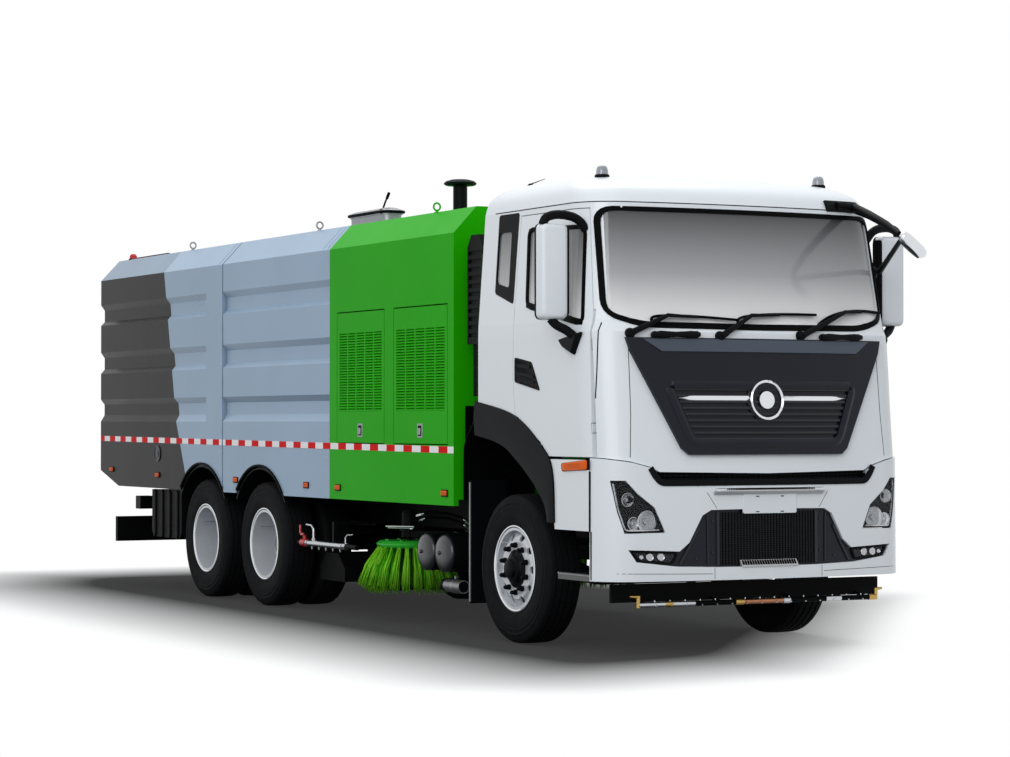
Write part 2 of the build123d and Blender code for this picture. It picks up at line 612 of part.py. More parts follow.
with BuildPart() as bumper:
    add(skin(BUMPER_LEVELS, 0, 60, CAB_REAR))
    add(block((-WIDE, WIDE), (BUMPER_REAR, aft(500)), (400, 1500)), mode=Mode.SUBTRACT)
    for cut in (mouth_prism, pair(lamp_prism), slot_prism, bumper_top):
        add(cut, mode=Mode.SUBTRACT)
    # beam across the frame's front ends
    add(block((-800, 800), (aft(-1400), RAIL_Y[0]), (1000, 1120)))
    add(pair(block((350, 430), (aft(-1400), RAIL_Y[0]), (760, 1010))))
    # tread over the plate, a little proud of the bumper
    add(block((-440, 440), (aft(-1516), aft(-1450)), (1104, 1122)))
finish("bumper", bumper.part)

with BuildPart() as headlamps:
    add(pair(skin(BUMPER_LEVELS, 4, 60, CAB_REAR) & lamp_prism))
finish("headlamps", headlamps.part)

# ---------------------------------------------------------------- cab fittings
STEP_X = (inboard(60), inboard(20))
SKIRT = [(-1195, 838), (-729, 838), (-722, 880), (-690, 1242), (-645, 1316), (-1195, 1316)]
with BuildPart() as entry_steps:
    for side in (-1, 1):
        add(side_prism(SKIRT, sorted((side * STEP_X[0], side * BODY_HALF))))
        add(block(sorted((side * 900, side * STEP_X[1])), (aft(-1190), aft(-740)), (500, 540)))
        add(block(sorted((side * 900, side * 940)), (aft(-1190), aft(-740)), (540, 1325)))
        add(block(sorted((side * 940, side * STEP_X[0])), (aft(-1190), aft(-740)), (840, 870)))
        add(block(sorted((side * RAIL_OUT, side * 900)), (aft(-1000), aft(-900)), (840, 940)))
finish("entry_steps", entry_steps.part)

GUARD_R = (638, 652)
with BuildPart() as mudguards:
    flare = side_prism(FLARE_OUT + FLARE_IN, (-inboard(-12), -inboard(50)))
    liner_edge = FLARE_IN[:-1] + [(400, 1485)]
    liner = side_prism(liner_edge + [(a, z + 16) for a, z in reversed(liner_edge)], (-inboard(50), -890))
    flap = block((-inboard(60), -890), (aft(650), aft(660)), (246, 1148))
    flap_arm = block((-890, -RAIL_OUT), (aft(640), aft(670)), (880, 940))
    add(pair(flare + liner))
    add(pair(flap + flap_arm))
    # rear guards: an arc over each pair of twin wheels, on two stays from the rail
    for axle_y in REAR_AXLES_Y.values():
        arc = rod((-BODY_HALF + 6, axle_y, AXLE_Z), (-620, axle_y, AXLE_Z), GUARD_R[1]) \
            - rod((-BODY_HALF, axle_y, AXLE_Z), (-610, axle_y, AXLE_Z), GUARD_R[0])
        arc = arc & block((-BODY_HALF, -600), (axle_y - 700, axle_y + 700), (900, 1200))
        stays = [block((-640, -RAIL_OUT), (axle_y + turn * 440 - 10, axle_y + turn * 440 + 10),
                       (930, 995)) for turn in (-1, 1)]
        add(pair(arc + stays))
finish("mudguards", mudguards.part)

with BuildPart() as cab_interior:
    for side in (-1, 1):
        middle = side * 620
        add(block((middle - 260, middle + 260), (aft(-450), aft(50)), (1700, 1820)))
        add(block((middle - 250, middle + 250), (aft(-20), aft(110)), (1820, 2560)))
        add(block((middle - 180, middle + 180), (aft(-380), aft(0)), (FLOOR_Z[1], 1700)))
    add(front_prism([(-1120, 1900), (1120, 1900), (1120, 2150), (-1120, 2150)],
                    (aft(-1010), aft(-800))))
    add(block((-1100, 1100), (aft(-1000), aft(-940)), (FLOOR_Z[1], 1900)))
    add(rod((620, aft(-810), 2080), (620, aft(-640), 2160), 30))
    with Locations(Plane(origin=(620, aft(-640), 2160), z_dir=(0, 170, 80))):
        Cylinder(236, 30)
        Cylinder(204, 40, mode=Mode.SUBTRACT)
        Box(430, 40, 20)
finish("cab_interior", cab_interior.part)

# ================================================================ body
ARCH_X = (560, BODY_HALF + 20)
arch_rooms = [rod((side * ARCH_X[0], y, AXLE_Z), (side * ARCH_X[1], y, AXLE_Z), ARCH_R)
              for y in REAR_AXLES_Y.values() for side in (-1, 1)]
SILL_X = (350, 430)


def skirts(y):
    """The side walls below the deck."""
    wall = block((-BODY_HALF, -BODY_HALF + SKIRT_T), y, (BODY_Z[0], DECK_Z[0]))
    return pair(wall)


def hollow(y, inner_y, floor_z):
    """A stretch of the body with its walls, open where inner_y runs past the ends."""
    shell = front_prism([(x, max(z, floor_z)) for x, z in body_section(0, 0)], y)
    room = front_prism([(x, max(z, floor_z + 40)) for x, z in body_section(BODY_WALL, 0)], inner_y)
    return shell - room


# Engine housing: a closed green box with two top-hinged louvred doors on each side.
with BuildPart() as engine_housing:
    add(hollow((BODY_FRONT, TANK_FRONT), (BODY_FRONT + BODY_WALL, TANK_FRONT - BODY_WALL),
               HOUSING_FLOOR))
    add(pair(block((-BODY_HALF, -BODY_HALF + SKIRT_T), (BODY_FRONT, TANK_FRONT),
                   (BODY_Z[0], HOUSING_FLOOR))))
    for front, rear in ENGINE_DOORS:
        gap = ENGINE_DOOR_GAP
        add(block((-BEYOND, BEYOND), (aft(front) - gap, aft(rear) + gap),
                  (ENGINE_DOOR_Z[0] - gap, ENGINE_DOOR_Z[1] + gap)), mode=Mode.SUBTRACT)
        for side in (-1, 1):
            for end, inward in ((front, 1), (rear, -1)):
                add(rod((side * ENGINE_PIN[0], aft(end) - inward * 40, ENGINE_PIN[1]),
                        (side * ENGINE_PIN[0], aft(end) + inward * 30, ENGINE_PIN[1]), ENGINE_PIN_R))
finish("engine_housing", engine_housing.part)

LOUVRE_Z = (1656, 2277)
LOUVRE_COLUMNS = 5
LOUVRE_BLADES = 6           # in each column: pressed louvres, drawn coarser than they are
LOUVRE_DEPTH = 16
for number, (front, rear) in enumerate(ENGINE_DOORS, 1):
    with BuildPart() as engine_door:
        add(block((-BODY_HALF, -BODY_HALF + ENGINE_DOOR_T), (aft(front), aft(rear)), ENGINE_DOOR_Z))
        field = (front + 33, rear - 33)
        column = (field[1] - field[0]) / LOUVRE_COLUMNS
        blade = (LOUVRE_Z[1] - LOUVRE_Z[0]) / (2 * LOUVRE_BLADES)
        for start in [field[0] + column * k for k in range(LOUVRE_COLUMNS)]:
            for low in [LOUVRE_Z[0] + 2 * blade * k for k in range(LOUVRE_BLADES)]:
                add(block((-BODY_HALF - 1, -BODY_HALF + LOUVRE_DEPTH),
                          (aft(start + 10), aft(start + column - 10)), (low, low + blade)),
                    mode=Mode.SUBTRACT)
        for start, end in ((front - 1, front + 34), (rear - 34, rear + 1)):
            add(rod((-ENGINE_PIN[0], aft(start), ENGINE_PIN[1]), (-ENGINE_PIN[0], aft(end), ENGINE_PIN[1]),
                    ENGINE_PIN_R + RUN_GAP), mode=Mode.SUBTRACT)
    finish(f"engine_door_{number}_right", engine_door.part)
    finish(f"engine_door_{number}_left", mirrored(engine_door.part))

# Water tank: its shell is closed, so it is one solid above the deck.
with BuildPart() as water_tank:
    add(front_prism([(x, max(z, DECK_Z[0])) for x, z in body_section(0, 0)],
                    (TANK_FRONT, TANK_REAR)))
    add(skirts((TANK_FRONT, TANK_REAR)))
    add(pair(block((-SILL_X[1], -SILL_X[0]), (TANK_FRONT, TANK_REAR), (RAIL_Z[1], DECK_Z[0]))))
    add(rib_cuts((TANK_FRONT - 1, TANK_REAR + 1)), mode=Mode.SUBTRACT)
    add(arch_rooms, mode=Mode.SUBTRACT)
finish("water_tank", water_tank.part)

# Waste bin: hollow, with its sills on the frame and its hinge near the tail.
TAIL_DOOR_T = 60
TAIL_GAP = 10
TAIL_PIN_R = 8
TAIL_REBATE = (30, 12)      # seat of the tail door's seal: length and depth in the walls
TAIL_PIN_X = (880, 970)
TAIL_TOP = BODY_Z[1] - BODY_WALL - TAIL_GAP
TAIL_PIN_Y = BODY_REAR - 12
TAIL_PIN_Z = TAIL_TOP - 14
TAIL_CUT = REAR_REACH - 518
tail_cut = side_prism([(TAIL_CUT, 900), (TAIL_CUT, 954), (REAR_REACH, 1100), (REAR_REACH + 10, 1100),
                       (REAR_REACH + 10, 900)], (-BEYOND, BEYOND))
with BuildPart() as waste_bin:
    add(hollow((BIN_FRONT, BODY_REAR), (BIN_FRONT + BODY_WALL, BODY_REAR + 1), DECK_Z[0]))
    add(skirts((BIN_FRONT, BODY_REAR)))
    sill = block((-SILL_X[1] + 2, -SILL_X[0]), (BIN_FRONT, TIP_HINGE_Y),
                 (RAIL_Z[1] + RUN_GAP, DECK_Z[0]))
    heel = rod((-SILL_X[1] + 2, TIP_HINGE_Y, TIP_HINGE_Z), (-SILL_X[0], TIP_HINGE_Y, TIP_HINGE_Z),
               TIP_HINGE_Z - RAIL_Z[1] - RUN_GAP)
    web = block((-SILL_X[1] + 2, -SILL_X[0]), (TIP_HINGE_Y, TIP_HINGE_Y + 64),
                (TIP_HINGE_Z, DECK_Z[0]))
    add(pair(sill + heel + web))
    add(rod((-SILL_X[1] - 60, TIP_HINGE_Y, TIP_HINGE_Z), (SILL_X[1] + 60, TIP_HINGE_Y, TIP_HINGE_Z),
            TIP_PIN_R + RUN_GAP), mode=Mode.SUBTRACT)
    add(rib_cuts((aft(5713), BODY_REAR + 1)), mode=Mode.SUBTRACT)
    add(arch_rooms, mode=Mode.SUBTRACT)
    add(tail_cut, mode=Mode.SUBTRACT)
    seat = [(x, max(z, DECK_Z[1])) for x, z in body_section(BODY_WALL - TAIL_REBATE[1], 0)]
    add(front_prism(seat, (BODY_REAR - TAIL_REBATE[0], BODY_REAR + 1)), mode=Mode.SUBTRACT)
    # tail door pins under the roof, and the cross shaft that the cylinders push on
    for side in (-1, 1):
        add(block(sorted((side * (TAIL_PIN_X[0] - 24), side * (TAIL_PIN_X[0] - 4))),
                  (TAIL_PIN_Y - 30, TAIL_PIN_Y + 12),
                  (TAIL_PIN_Z - 14, BODY_Z[1] - BODY_WALL + TAIL_REBATE[1] + 1)))
        add(rod((side * (TAIL_PIN_X[0] - 10), TAIL_PIN_Y, TAIL_PIN_Z),
                (side * TAIL_PIN_X[1], TAIL_PIN_Y, TAIL_PIN_Z), TAIL_PIN_R))
    add(rod((-SILL_X[0] - 20, *UPPER_PIN), (SILL_X[0] + 20, *UPPER_PIN), ROD_PIN_R))
finish("waste_bin", waste_bin.part)

with BuildPart() as rear_door:
    door_low = DECK_Z[1] + TAIL_GAP
    add(front_prism([(x, max(z, door_low)) for x, z in body_section(BODY_WALL + TAIL_GAP, 0)],
                    (BODY_REAR - TAIL_DOOR_T, BODY_REAR)))
    for side in (-1, 1):
        add(block(sorted((side * (TAIL_PIN_X[0] - 32), side * (TAIL_PIN_X[0] + 4))),
                  (BODY_REAR - TAIL_DOOR_T - 1, BODY_REAR + 1), (TAIL_PIN_Z - 62, TAIL_TOP + 1)),
            mode=Mode.SUBTRACT)
        add(rod((side * (TAIL_PIN_X[0] - 10), TAIL_PIN_Y, TAIL_PIN_Z),
                (side * (TAIL_PIN_X[1] + 8), TAIL_PIN_Y, TAIL_PIN_Z), TAIL_PIN_R + RUN_GAP),
            mode=Mode.SUBTRACT)
finish("rear_door", rear_door.part)

# ================================================================ tipping cylinders
# Three nested tubes a side: the barrel leans on its trunnion, the sleeve and rod slide out.
ROD_EYE_R = (40, 50)        # bore and outside of the eye, wide enough for its small drift
BARREL_R_TIP = (52, 62)
SLEEVE_R = (40, 51.6)
ROD_R = 39.6
cylinder_run = Vector(0, UPPER_PIN[0] - LOWER_PIN[0], UPPER_PIN[1] - LOWER_PIN[1])
CYLINDER_LENGTH = cylinder_run.length
lean = cylinder_run.normalized()


def along(distance):
    """The right-hand cylinder's axis point, this far from its lower pin."""
    return Vector(-CYLINDER_MID, *LOWER_PIN) + lean * distance


def tube(start, end, bore, outside):
    """A round tube between two points on the cylinder's axis."""
    return rod(along(start), along(end), outside) - rod(along(start - 1), along(end + 1), bore)


BARREL_TOP = CYLINDER_LENGTH - 80
with BuildPart() as tip_barrel:
    add(tube(-30, BARREL_TOP, *BARREL_R_TIP))
    add(rod(along(-50), along(-30), BARREL_R_TIP[1]))
    add(rod((-CYLINDER_X[0] + 6, *LOWER_PIN), (-CYLINDER_MID - 54, *LOWER_PIN), 45))
    add(rod((-CYLINDER_X[0] - 1, *LOWER_PIN), (-TRUNNION_END + 2, *LOWER_PIN), TRUNNION_R + RUN_GAP),
        mode=Mode.SUBTRACT)
finish("tip_barrels", pair(tip_barrel.part))
finish("tip_sleeves", pair(tube(-20, BARREL_TOP + 10, *SLEEVE_R)))
with BuildPart() as tip_rod:
    add(rod(along(-10), along(CYLINDER_LENGTH - ROD_EYE_R[0] - 2), ROD_R))
    eye = Vector(-CYLINDER_MID - 30, *UPPER_PIN)
    add(rod(eye, eye + Vector(60, 0, 0), ROD_EYE_R[1]))
    add(rod(eye - Vector(1, 0, 0), eye + Vector(61, 0, 0), ROD_EYE_R[0]), mode=Mode.SUBTRACT)
finish("tip_rods", pair(tip_rod.part))

# ================================================================ roof of the body
ROOF_Z = BODY_Z[1]
EYE_R = 20                  # bore of a lifting eye
HATCH = (-600, aft(3524))
HATCH_SIZE = (190, 700)
LID_Z = 3296
HATCH_PIN = (HATCH[0] + HATCH_SIZE[0] / 2 + 22, LID_Z + 10)
with BuildPart() as roof_fittings:
    # breather stack with its rain cap
    add(rod((-600, aft(1974), ROOF_Z), (-600, aft(1974), 3440), 56))
    with Locations((-600, aft(1974), 3440)):
        Cone(129, 60, 44)
    # oblong filling neck, with the lug and pin of its lid
    with BuildSketch(Plane.XY.offset(ROOF_Z)):
        with Locations(HATCH):
            RectangleRounded(*HATCH_SIZE, 90)
            RectangleRounded(HATCH_SIZE[0] - 28, HATCH_SIZE[1] - 28, 76, mode=Mode.SUBTRACT)
    extrude(amount=LID_Z - RUN_GAP - ROOF_Z)
    add(block((HATCH_PIN[0] - 24, HATCH_PIN[0] + 8), (HATCH[1] - 25, HATCH[1] + 25),
              (LID_Z - 60, LID_Z - 4)))
    add(block((HATCH_PIN[0] - 8, HATCH_PIN[0] + 8), (HATCH[1] - 25, HATCH[1] + 25),
              (LID_Z - 10, LID_Z + 18)))
    add(rod((HATCH_PIN[0], HATCH[1] - 75, HATCH_PIN[1]), (HATCH_PIN[0], HATCH[1] + 75, HATCH_PIN[1]), 6))
    for distance in (1491, 3680):
        for side in (-1, 1):
            eye_at = (side * (ROOF_HALF - 16), aft(distance))
            add(block((eye_at[0] - 14, eye_at[0] + 14), (eye_at[1], eye_at[1] + 20), (ROOF_Z, 3186)))
            add(rod((*eye_at, 3212), (eye_at[0], eye_at[1] + 20, 3212), 36))
            add(rod((eye_at[0], eye_at[1] - 1, 3212), (eye_at[0], eye_at[1] + 21, 3212), EYE_R),
                mode=Mode.SUBTRACT)
finish("roof_fittings", roof_fittings.part)

with BuildPart() as hatch_lid:
    with BuildSketch(Plane.XY.offset(LID_Z)):
        with Locations(HATCH):
            RectangleRounded(HATCH_SIZE[0] + 26, HATCH_SIZE[1] + 40, 100)
    extrude(amount=30)
    with BuildSketch(Plane.XY.offset(LID_Z + 30)):
        with Locations(HATCH):
            RectangleRounded(HATCH_SIZE[0] - 50, HATCH_SIZE[1] - 60, 60)
    extrude(amount=22)
    for end in (-1, 1):
        knuckle_y = HATCH[1] + end * 50
        add(block((HATCH_PIN[0] - 25, HATCH_PIN[0] + 8), (knuckle_y - 18, knuckle_y + 18),
                  (LID_Z + 1, LID_Z + 19)))
    add(block((HATCH_PIN[0] - 16, HATCH_PIN[0] + 20), (HATCH[1] - 31, HATCH[1] + 31),
              (LID_Z - 1, LID_Z + 40)), mode=Mode.SUBTRACT)
    add(rod((HATCH_PIN[0], HATCH[1] - 80, HATCH_PIN[1]), (HATCH_PIN[0], HATCH[1] + 80, HATCH_PIN[1]),
            6 + RUN_GAP), mode=Mode.SUBTRACT)
finish("hatch_lid", hatch_lid.part)

# ================================================================ beside the frame
with BuildPart() as air_intake:
    add(side_prism([(460, 2140), (700, 2140), (700, 2850), (640, 2938), (520, 2938), (460, 2850)],
                   (-1190, -930)))
    for low in range(2190, 2850, 60):
        add(block((-1191, -1176), (aft(480), aft(680)), (low, low + 30)), mode=Mode.SUBTRACT)
    add(block((-1150, -950), (aft(470), aft(680)), (1760, 2140)))
    add(block((-1120, -980), (aft(CAB_REAR), aft(460)), (2300, 2400)))
finish("air_intake", air_intake.part)

with BuildPart() as side_tanks:
    # two air reservoirs on a hanger ahead of the right-hand brush
    for distance in (1489, 1181):
        add(rod((-1130, aft(distance), 588), (-740, aft(distance), 588), 142))
    add(block((-740, -728), (aft(1080), aft(1590)), (470, 740)))
    add(block((-730, -RAIL_OUT), (aft(1300), aft(1370)), (RAIL_Z[0], RAIL_Z[0] + 20)))
    # a tank behind the rear wheels on each side, on two arms from the rail
    tank_front = WHEELBASE + TANDEM + 580
    tank_rear = tank_front + 763
    tank = side_prism([(tank_front, 560), (tank_front + 40, 500), (tank_rear - 43, 500),
                       (tank_rear, 560), (tank_rear, 940), (tank_front, 940)],
                      (-inboard(32), -760))
    arms = [block((-760, -RAIL_OUT), (aft(tank_front + start), aft(tank_front + start + 100)),
                  (800, 880)) for start in (200, 550)]
    ribs = [block((-inboard(20), -inboard(32)), (aft(tank_front + start), aft(tank_front + start + 46)),
                  (520, 920)) for start in (70, 262, 454, 646)]
    add(pair(Part() + [tank, *arms, *ribs]))
finish("side_tanks", side_tanks.part)

UNDERRUN_Y = (aft(REAR_REACH - 431), aft(REAR_REACH - 381))
with BuildPart() as underrun:
    add(block((-inboard(20), inboard(20)), UNDERRUN_Y, (415, 655)))
    add(pair(block((-RAIL_OUT, -RAIL_OUT + RAIL_FLANGE), (UNDERRUN_Y[0] - 239, UNDERRUN_Y[0]),
                   (560, RAIL_Z[0]))))
finish("underrun", underrun.part)

# Amber side markers: distance aft, Z.
MARKERS = [(947, 1045), (2850, 1047), (WHEELBASE - 998, 1053), (WHEELBASE + 529, 1068)]
MARKER = (90, 45, 12)       # length, height, depth


def marker(distance, z):
    """A side marker lamp on the body's wall, with its mirror image."""
    return pair(block((-BODY_HALF - MARKER[2], -BODY_HALF),
                      (aft(distance) - MARKER[0] / 2, aft(distance) + MARKER[0] / 2),
                      (z - MARKER[1] / 2, z + MARKER[1] / 2)))


with BuildPart() as marker_lamps:
    for place in MARKERS:
        add(marker(*place))
    # indicators on the cab's sides and tail lamps on the underrun
    add(pair(side_prism([(-1190, 1250), (-830, 1235), (-830, 1290), (-1190, 1318)],
                        (-BODY_HALF - 16, -BODY_HALF))))
    add(pair(block((-inboard(70), -inboard(370)), (UNDERRUN_Y[1], UNDERRUN_Y[1] + 20), (470, 600))))
finish("marker_lamps", marker_lamps.part)

# ================================================================ sweeping gear
NOZZLE_MID = WHEELBASE - 965
NOZZLE = [(-245, 260), (-245, 370), (-115, 490), (125, 490), (245, 370), (245, 260)]
NOZZLE_ROOM = [(-230, 259), (-230, 362), (-109, 475), (119, 475), (230, 362), (230, 259)]
DUCT_X = 205
DUCT_Y = aft(NOZZLE_MID + 45)


def nozzle_prism(outline, half):
    """A prism across the truck; its outline is counted from the nozzle's middle."""
    return side_prism([(NOZZLE_MID + distance, z) for distance, z in outline], (-half, half))


with BuildPart() as suction_nozzle:
    add(nozzle_prism(NOZZLE, 1000) - nozzle_prism(NOZZLE_ROOM, 985))
    for side in (-1, 1):
        add(rod((side * DUCT_X, DUCT_Y, 480), (side * DUCT_X, DUCT_Y, DECK_Z[0]), 60))
        add(block(sorted((side * 380, side * 400)), (DUCT_Y - 100, DUCT_Y - 60), (480, RAIL_Z[0])))
finish("suction_nozzle", suction_nozzle.part)

with BuildPart() as spray_bars:
    # black board under the bumper with the front spray pipe before it
    add(block((-1093, 1093), (aft(-1220), aft(-1200)), (355, 478)))
    add(pair(block((-RAIL_OUT, -RAIL_OUT + 20), (aft(-1200), aft(-1110)), (400, RAIL_Z[0]))))
    add(rod((-967, aft(-1370), 346), (967, aft(-1370), 346), 17))
    for x in (-900, -300, 300, 900):
        add(rod((x, aft(-1370), 346), (x, aft(-1210), 370), 10))
    # side spray pipes between brush and rear wheels, on arms from the frame
    arm_y = (aft(WHEELBASE - 1345), aft(WHEELBASE - 1315))
    arm = block((-1160, -1140), arm_y, (568, 760)) + block((-1140, -RAIL_OUT), arm_y, (740, 760))
    add(pair(rod((-1150, aft(WHEELBASE - 1780), 568), (-1150, aft(WHEELBASE - 620), 568), 22) + arm))
finish("spray_bars", spray_bars.part)

BRUSH_TOP = 635
BRUSH_PLATE = 60
HUB_BAR_R = 20
with BuildPart() as brush_arm:
    with BuildSketch(Plane.XY.offset(ARM_Z[0])):
        with Locations(ARM_PIVOT, BRUSH):
            Circle(62)
        with BuildLine():
            run = Vector(*BRUSH) - Vector(*ARM_PIVOT)
            edge = Vector(-run.Y, run.X).normalized() * 38
            Polyline(Vector(*ARM_PIVOT) + edge, Vector(*BRUSH) + edge, Vector(*BRUSH) - edge,
                     Vector(*ARM_PIVOT) - edge, close=True)
        make_face()
    extrude(amount=ARM_Z[1] - ARM_Z[0])
    add(rod((*BRUSH, ARM_Z[1]), (*BRUSH, 860), 58))
    add(rod((*BRUSH, BRUSH_TOP - BRUSH_PLATE - 15), (*BRUSH, ARM_Z[1]), HUB_BAR_R))
    add(rod((*ARM_PIVOT, ARM_Z[0] - 1), (*ARM_PIVOT, ARM_Z[1] + 1), ARM_PIN_R + RUN_GAP),
        mode=Mode.SUBTRACT)
finish("brush_arm_right", brush_arm.part)
finish("brush_arm_left", mirrored(brush_arm.part))

with BuildPart() as brush:
    with BuildSketch(Plane.XZ):
        with BuildLine():
            Polyline((HUB_BAR_R + RUN_GAP, BRUSH_TOP), (250, BRUSH_TOP), (262, BRUSH_TOP - 45),
                     (410, 245), (330, 225), (150, BRUSH_TOP - BRUSH_PLATE),
                     (HUB_BAR_R + RUN_GAP, BRUSH_TOP - BRUSH_PLATE), close=True)
        make_face()
    revolve(axis=Axis.Z)
brush_right = brush.part.moved(Location((*BRUSH, 0)))
finish("brush_right", brush_right)
finish("brush_left", mirrored(brush_right))

# ================================================================ mirrors and front trim
LOOKDOWN_R = 45
MIRROR_X = (-inboard(-250), -inboard(-40))
MIRROR_Y = (aft(-1010), aft(-890))
MIRROR_Z = (2260, 2915)
with BuildPart() as mirror_stand:
    with BuildSketch(Plane.XY.offset(MIRROR_Z[0])):
        with Locations(((MIRROR_X[0] + MIRROR_X[1]) / 2, (MIRROR_Y[0] + MIRROR_Y[1]) / 2)):
            RectangleRounded(MIRROR_X[1] - MIRROR_X[0], MIRROR_Y[1] - MIRROR_Y[0], 40)
    extrude(amount=MIRROR_Z[1] - MIRROR_Z[0])
    # arm up from its bracket on the door
    add(rod((-inboard(-35), aft(-1040), 2110), (-inboard(-150), aft(-950), 2275), 32))
    add(block((-inboard(-50), -BODY_HALF), (aft(-1080), aft(-1000)), (2010, 2130)))
finish("mirror_right", mirror_stand.part)
finish("mirror_left", mirrored(mirror_stand.part))

with BuildPart() as front_trim:
    # look-down mirror above the windscreen: plate, arm, strut and head
    add(block((530, 850), (aft(-1262), aft(-1100)), (3000, 3056)))
    head_y = aft(-FRONT_REACH + LOOKDOWN_R)
    add(rod((790, aft(-1240), 3030), (850, head_y + 20, 2853), 17))
    add(rod((1120, aft(-1095), 2650), (850, head_y + 20, 2853), 12))
    add(rod((840, head_y, 2860), (1040, head_y, 2715), LOOKDOWN_R))
    add(plan_loft(CAB_LEVELS, -RUN_GAP, CAB_REAR), mode=Mode.SUBTRACT)
finish("front_trim", front_trim.part)
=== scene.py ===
"""Street sweeper truck: finishes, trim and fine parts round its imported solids."""

import math
import random

import bmesh
import bpy
from bpy.props import FloatProperty, FloatVectorProperty, IntProperty, PointerProperty
from mathutils import Matrix, Vector
from mathutils.bvhtree import BVHTree


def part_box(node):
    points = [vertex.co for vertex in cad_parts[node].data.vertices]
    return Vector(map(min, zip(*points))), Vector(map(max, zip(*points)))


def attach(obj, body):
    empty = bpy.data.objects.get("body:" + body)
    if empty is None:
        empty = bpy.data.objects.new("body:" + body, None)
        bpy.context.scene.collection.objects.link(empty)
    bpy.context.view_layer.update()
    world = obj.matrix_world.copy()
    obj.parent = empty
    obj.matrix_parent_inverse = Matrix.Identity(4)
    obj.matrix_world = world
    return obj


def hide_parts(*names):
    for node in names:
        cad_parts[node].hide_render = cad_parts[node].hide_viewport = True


bl_info = {"name": "Street sweeper truck", "version": (1, 0, 0), "blender": (4, 5, 0),
    "location": "3D View > Sidebar > Sweeper",
    "description": "Dresses a street sweeper truck with its finishes, trim and fine parts",
    "category": "Object",}

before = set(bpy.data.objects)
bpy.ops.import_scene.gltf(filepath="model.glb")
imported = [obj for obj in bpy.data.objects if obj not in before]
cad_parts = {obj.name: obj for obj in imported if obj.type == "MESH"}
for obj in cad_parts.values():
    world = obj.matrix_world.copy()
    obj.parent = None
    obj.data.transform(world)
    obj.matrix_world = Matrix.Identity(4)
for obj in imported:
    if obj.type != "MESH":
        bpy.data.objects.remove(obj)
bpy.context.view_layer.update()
MM = 0.001
AXLE_Y = sum(corner.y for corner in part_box("rim_front_right")) / 2
SIDES = (("right", -1), ("left", 1))
HALF = 1250                 # half of the width over cab and body, mm
UP, AFT = Vector((0, 0, 1)), Vector((0, 1, 0))
MOUTH = "grille_panel"
SKIN_FRONT = "cab_body hood grille_panel bumper cab_glass cab_roof"


# ---- places
def at(x, aft, z):
    """A point in metres from millimetres: to the left, aft of the front axle, above the ground."""
    return Vector((x * MM, AXLE_Y + aft * MM, z * MM))


def at_side(x, points):
    """Places of an outline of (aft, Z) points at one X."""
    return [at(x, aft, z) for aft, z in points]


def mm(x, y, z):
    """An offset in metres from millimetres."""
    return Vector((x * MM, y * MM, z * MM))


TREES = {}


def surface(nodes):
    """The solids of some nodes, ready for lines to be cast onto them."""
    if nodes not in TREES:
        points, faces = [], []
        for node in nodes.split():
            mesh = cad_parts[node].data
            first = len(points)
            points += [corner.co for corner in mesh.vertices]
            faces += [[first + i for i in face.vertices] for face in mesh.polygons]
        TREES[nodes] = BVHTree.FromPolygons(points, faces)
    return TREES[nodes]


def seat(nodes, start, direction):
    """The point and outward normal where a line meets the nodes."""
    hit, normal, _, _ = surface(nodes).ray_cast(start, direction)
    if hit is None:
        raise RuntimeError(f"nothing of {nodes} lies along {tuple(direction)} from {tuple(start)}")
    return hit, normal


def on_front(x, z, nodes=SKIN_FRONT):
    """The point and normal on the cab's front at this X and height."""
    return seat(nodes, at(x, -3000, z), AFT)


def on_side(side, aft, z, nodes="cab_body door_right door_left"):
    """The point and normal on one side of the truck."""
    return seat(nodes, at(side * 2500, aft, z), Vector((-side, 0, 0)))


def on_top(x, aft, nodes):
    """The point and normal on the top of the nodes."""
    return seat(nodes, at(x, aft, 5000), Vector((0, 0, -1)))


def mirrored(hand, points):
    """Points of (X, Z) given for the left half, turned over where the hand is -1."""
    return [(hand * x, z) for x, z in points]


def spread(points, step):
    """Points along straight runs, no further apart than the step."""
    made = [points[0]]
    for start, end in zip(points, points[1:]):
        count = max(1, math.ceil(math.dist(start, end) / step))
        made += [tuple(a + (b - a) * k / count for a, b in zip(start, end))
            for k in range(1, count + 1)]
    return made


def rounded(points, radius, closed=True, steps=5):
    """An outline in a plane with its corners rounded off."""
    made = []
    count = len(points)
    for i, corner in enumerate(points):
        if not closed and i in (0, count - 1):
            made.append(tuple(corner))
            continue
        before, after = Vector(points[i - 1]), Vector(points[(i + 1) % count])
        corner = Vector(corner)
        reach = min(radius, (before - corner).length * 0.48, (after - corner).length * 0.48)
        start = corner + (before - corner).normalized() * reach
        end = corner + (after - corner).normalized() * reach
        for k in range(steps + 1):
            t = k / steps
            made.append(tuple(start * (1 - t) ** 2 + corner * 2 * t * (1 - t) + end * t ** 2))
    return made


def oblong(x, z, radius, steps=5):
    """A rectangle between two bounds each way, with rounded corners."""
    return rounded([(x[0], z[0]), (x[1], z[0]), (x[1], z[1]), (x[0], z[1])], radius, steps=steps)


def smoothed(points, steps=6):
    """Points on a smooth curve through the given ones."""
    made = []
    last = len(points) - 1
    for i in range(last):
        four = (points[max(i - 1, 0)], points[i], points[i + 1], points[min(i + 2, last)])
        for k in range(steps):
            t = k / steps
            made.append(tuple(0.5 * (2 * b + (c - a) * t + (2 * a - 5 * b + 4 * c - d) * t ** 2
                + (3 * b - a - 3 * c + d) * t ** 3) for a, b, c, d in zip(*four)))
    return made + [tuple(points[-1])]


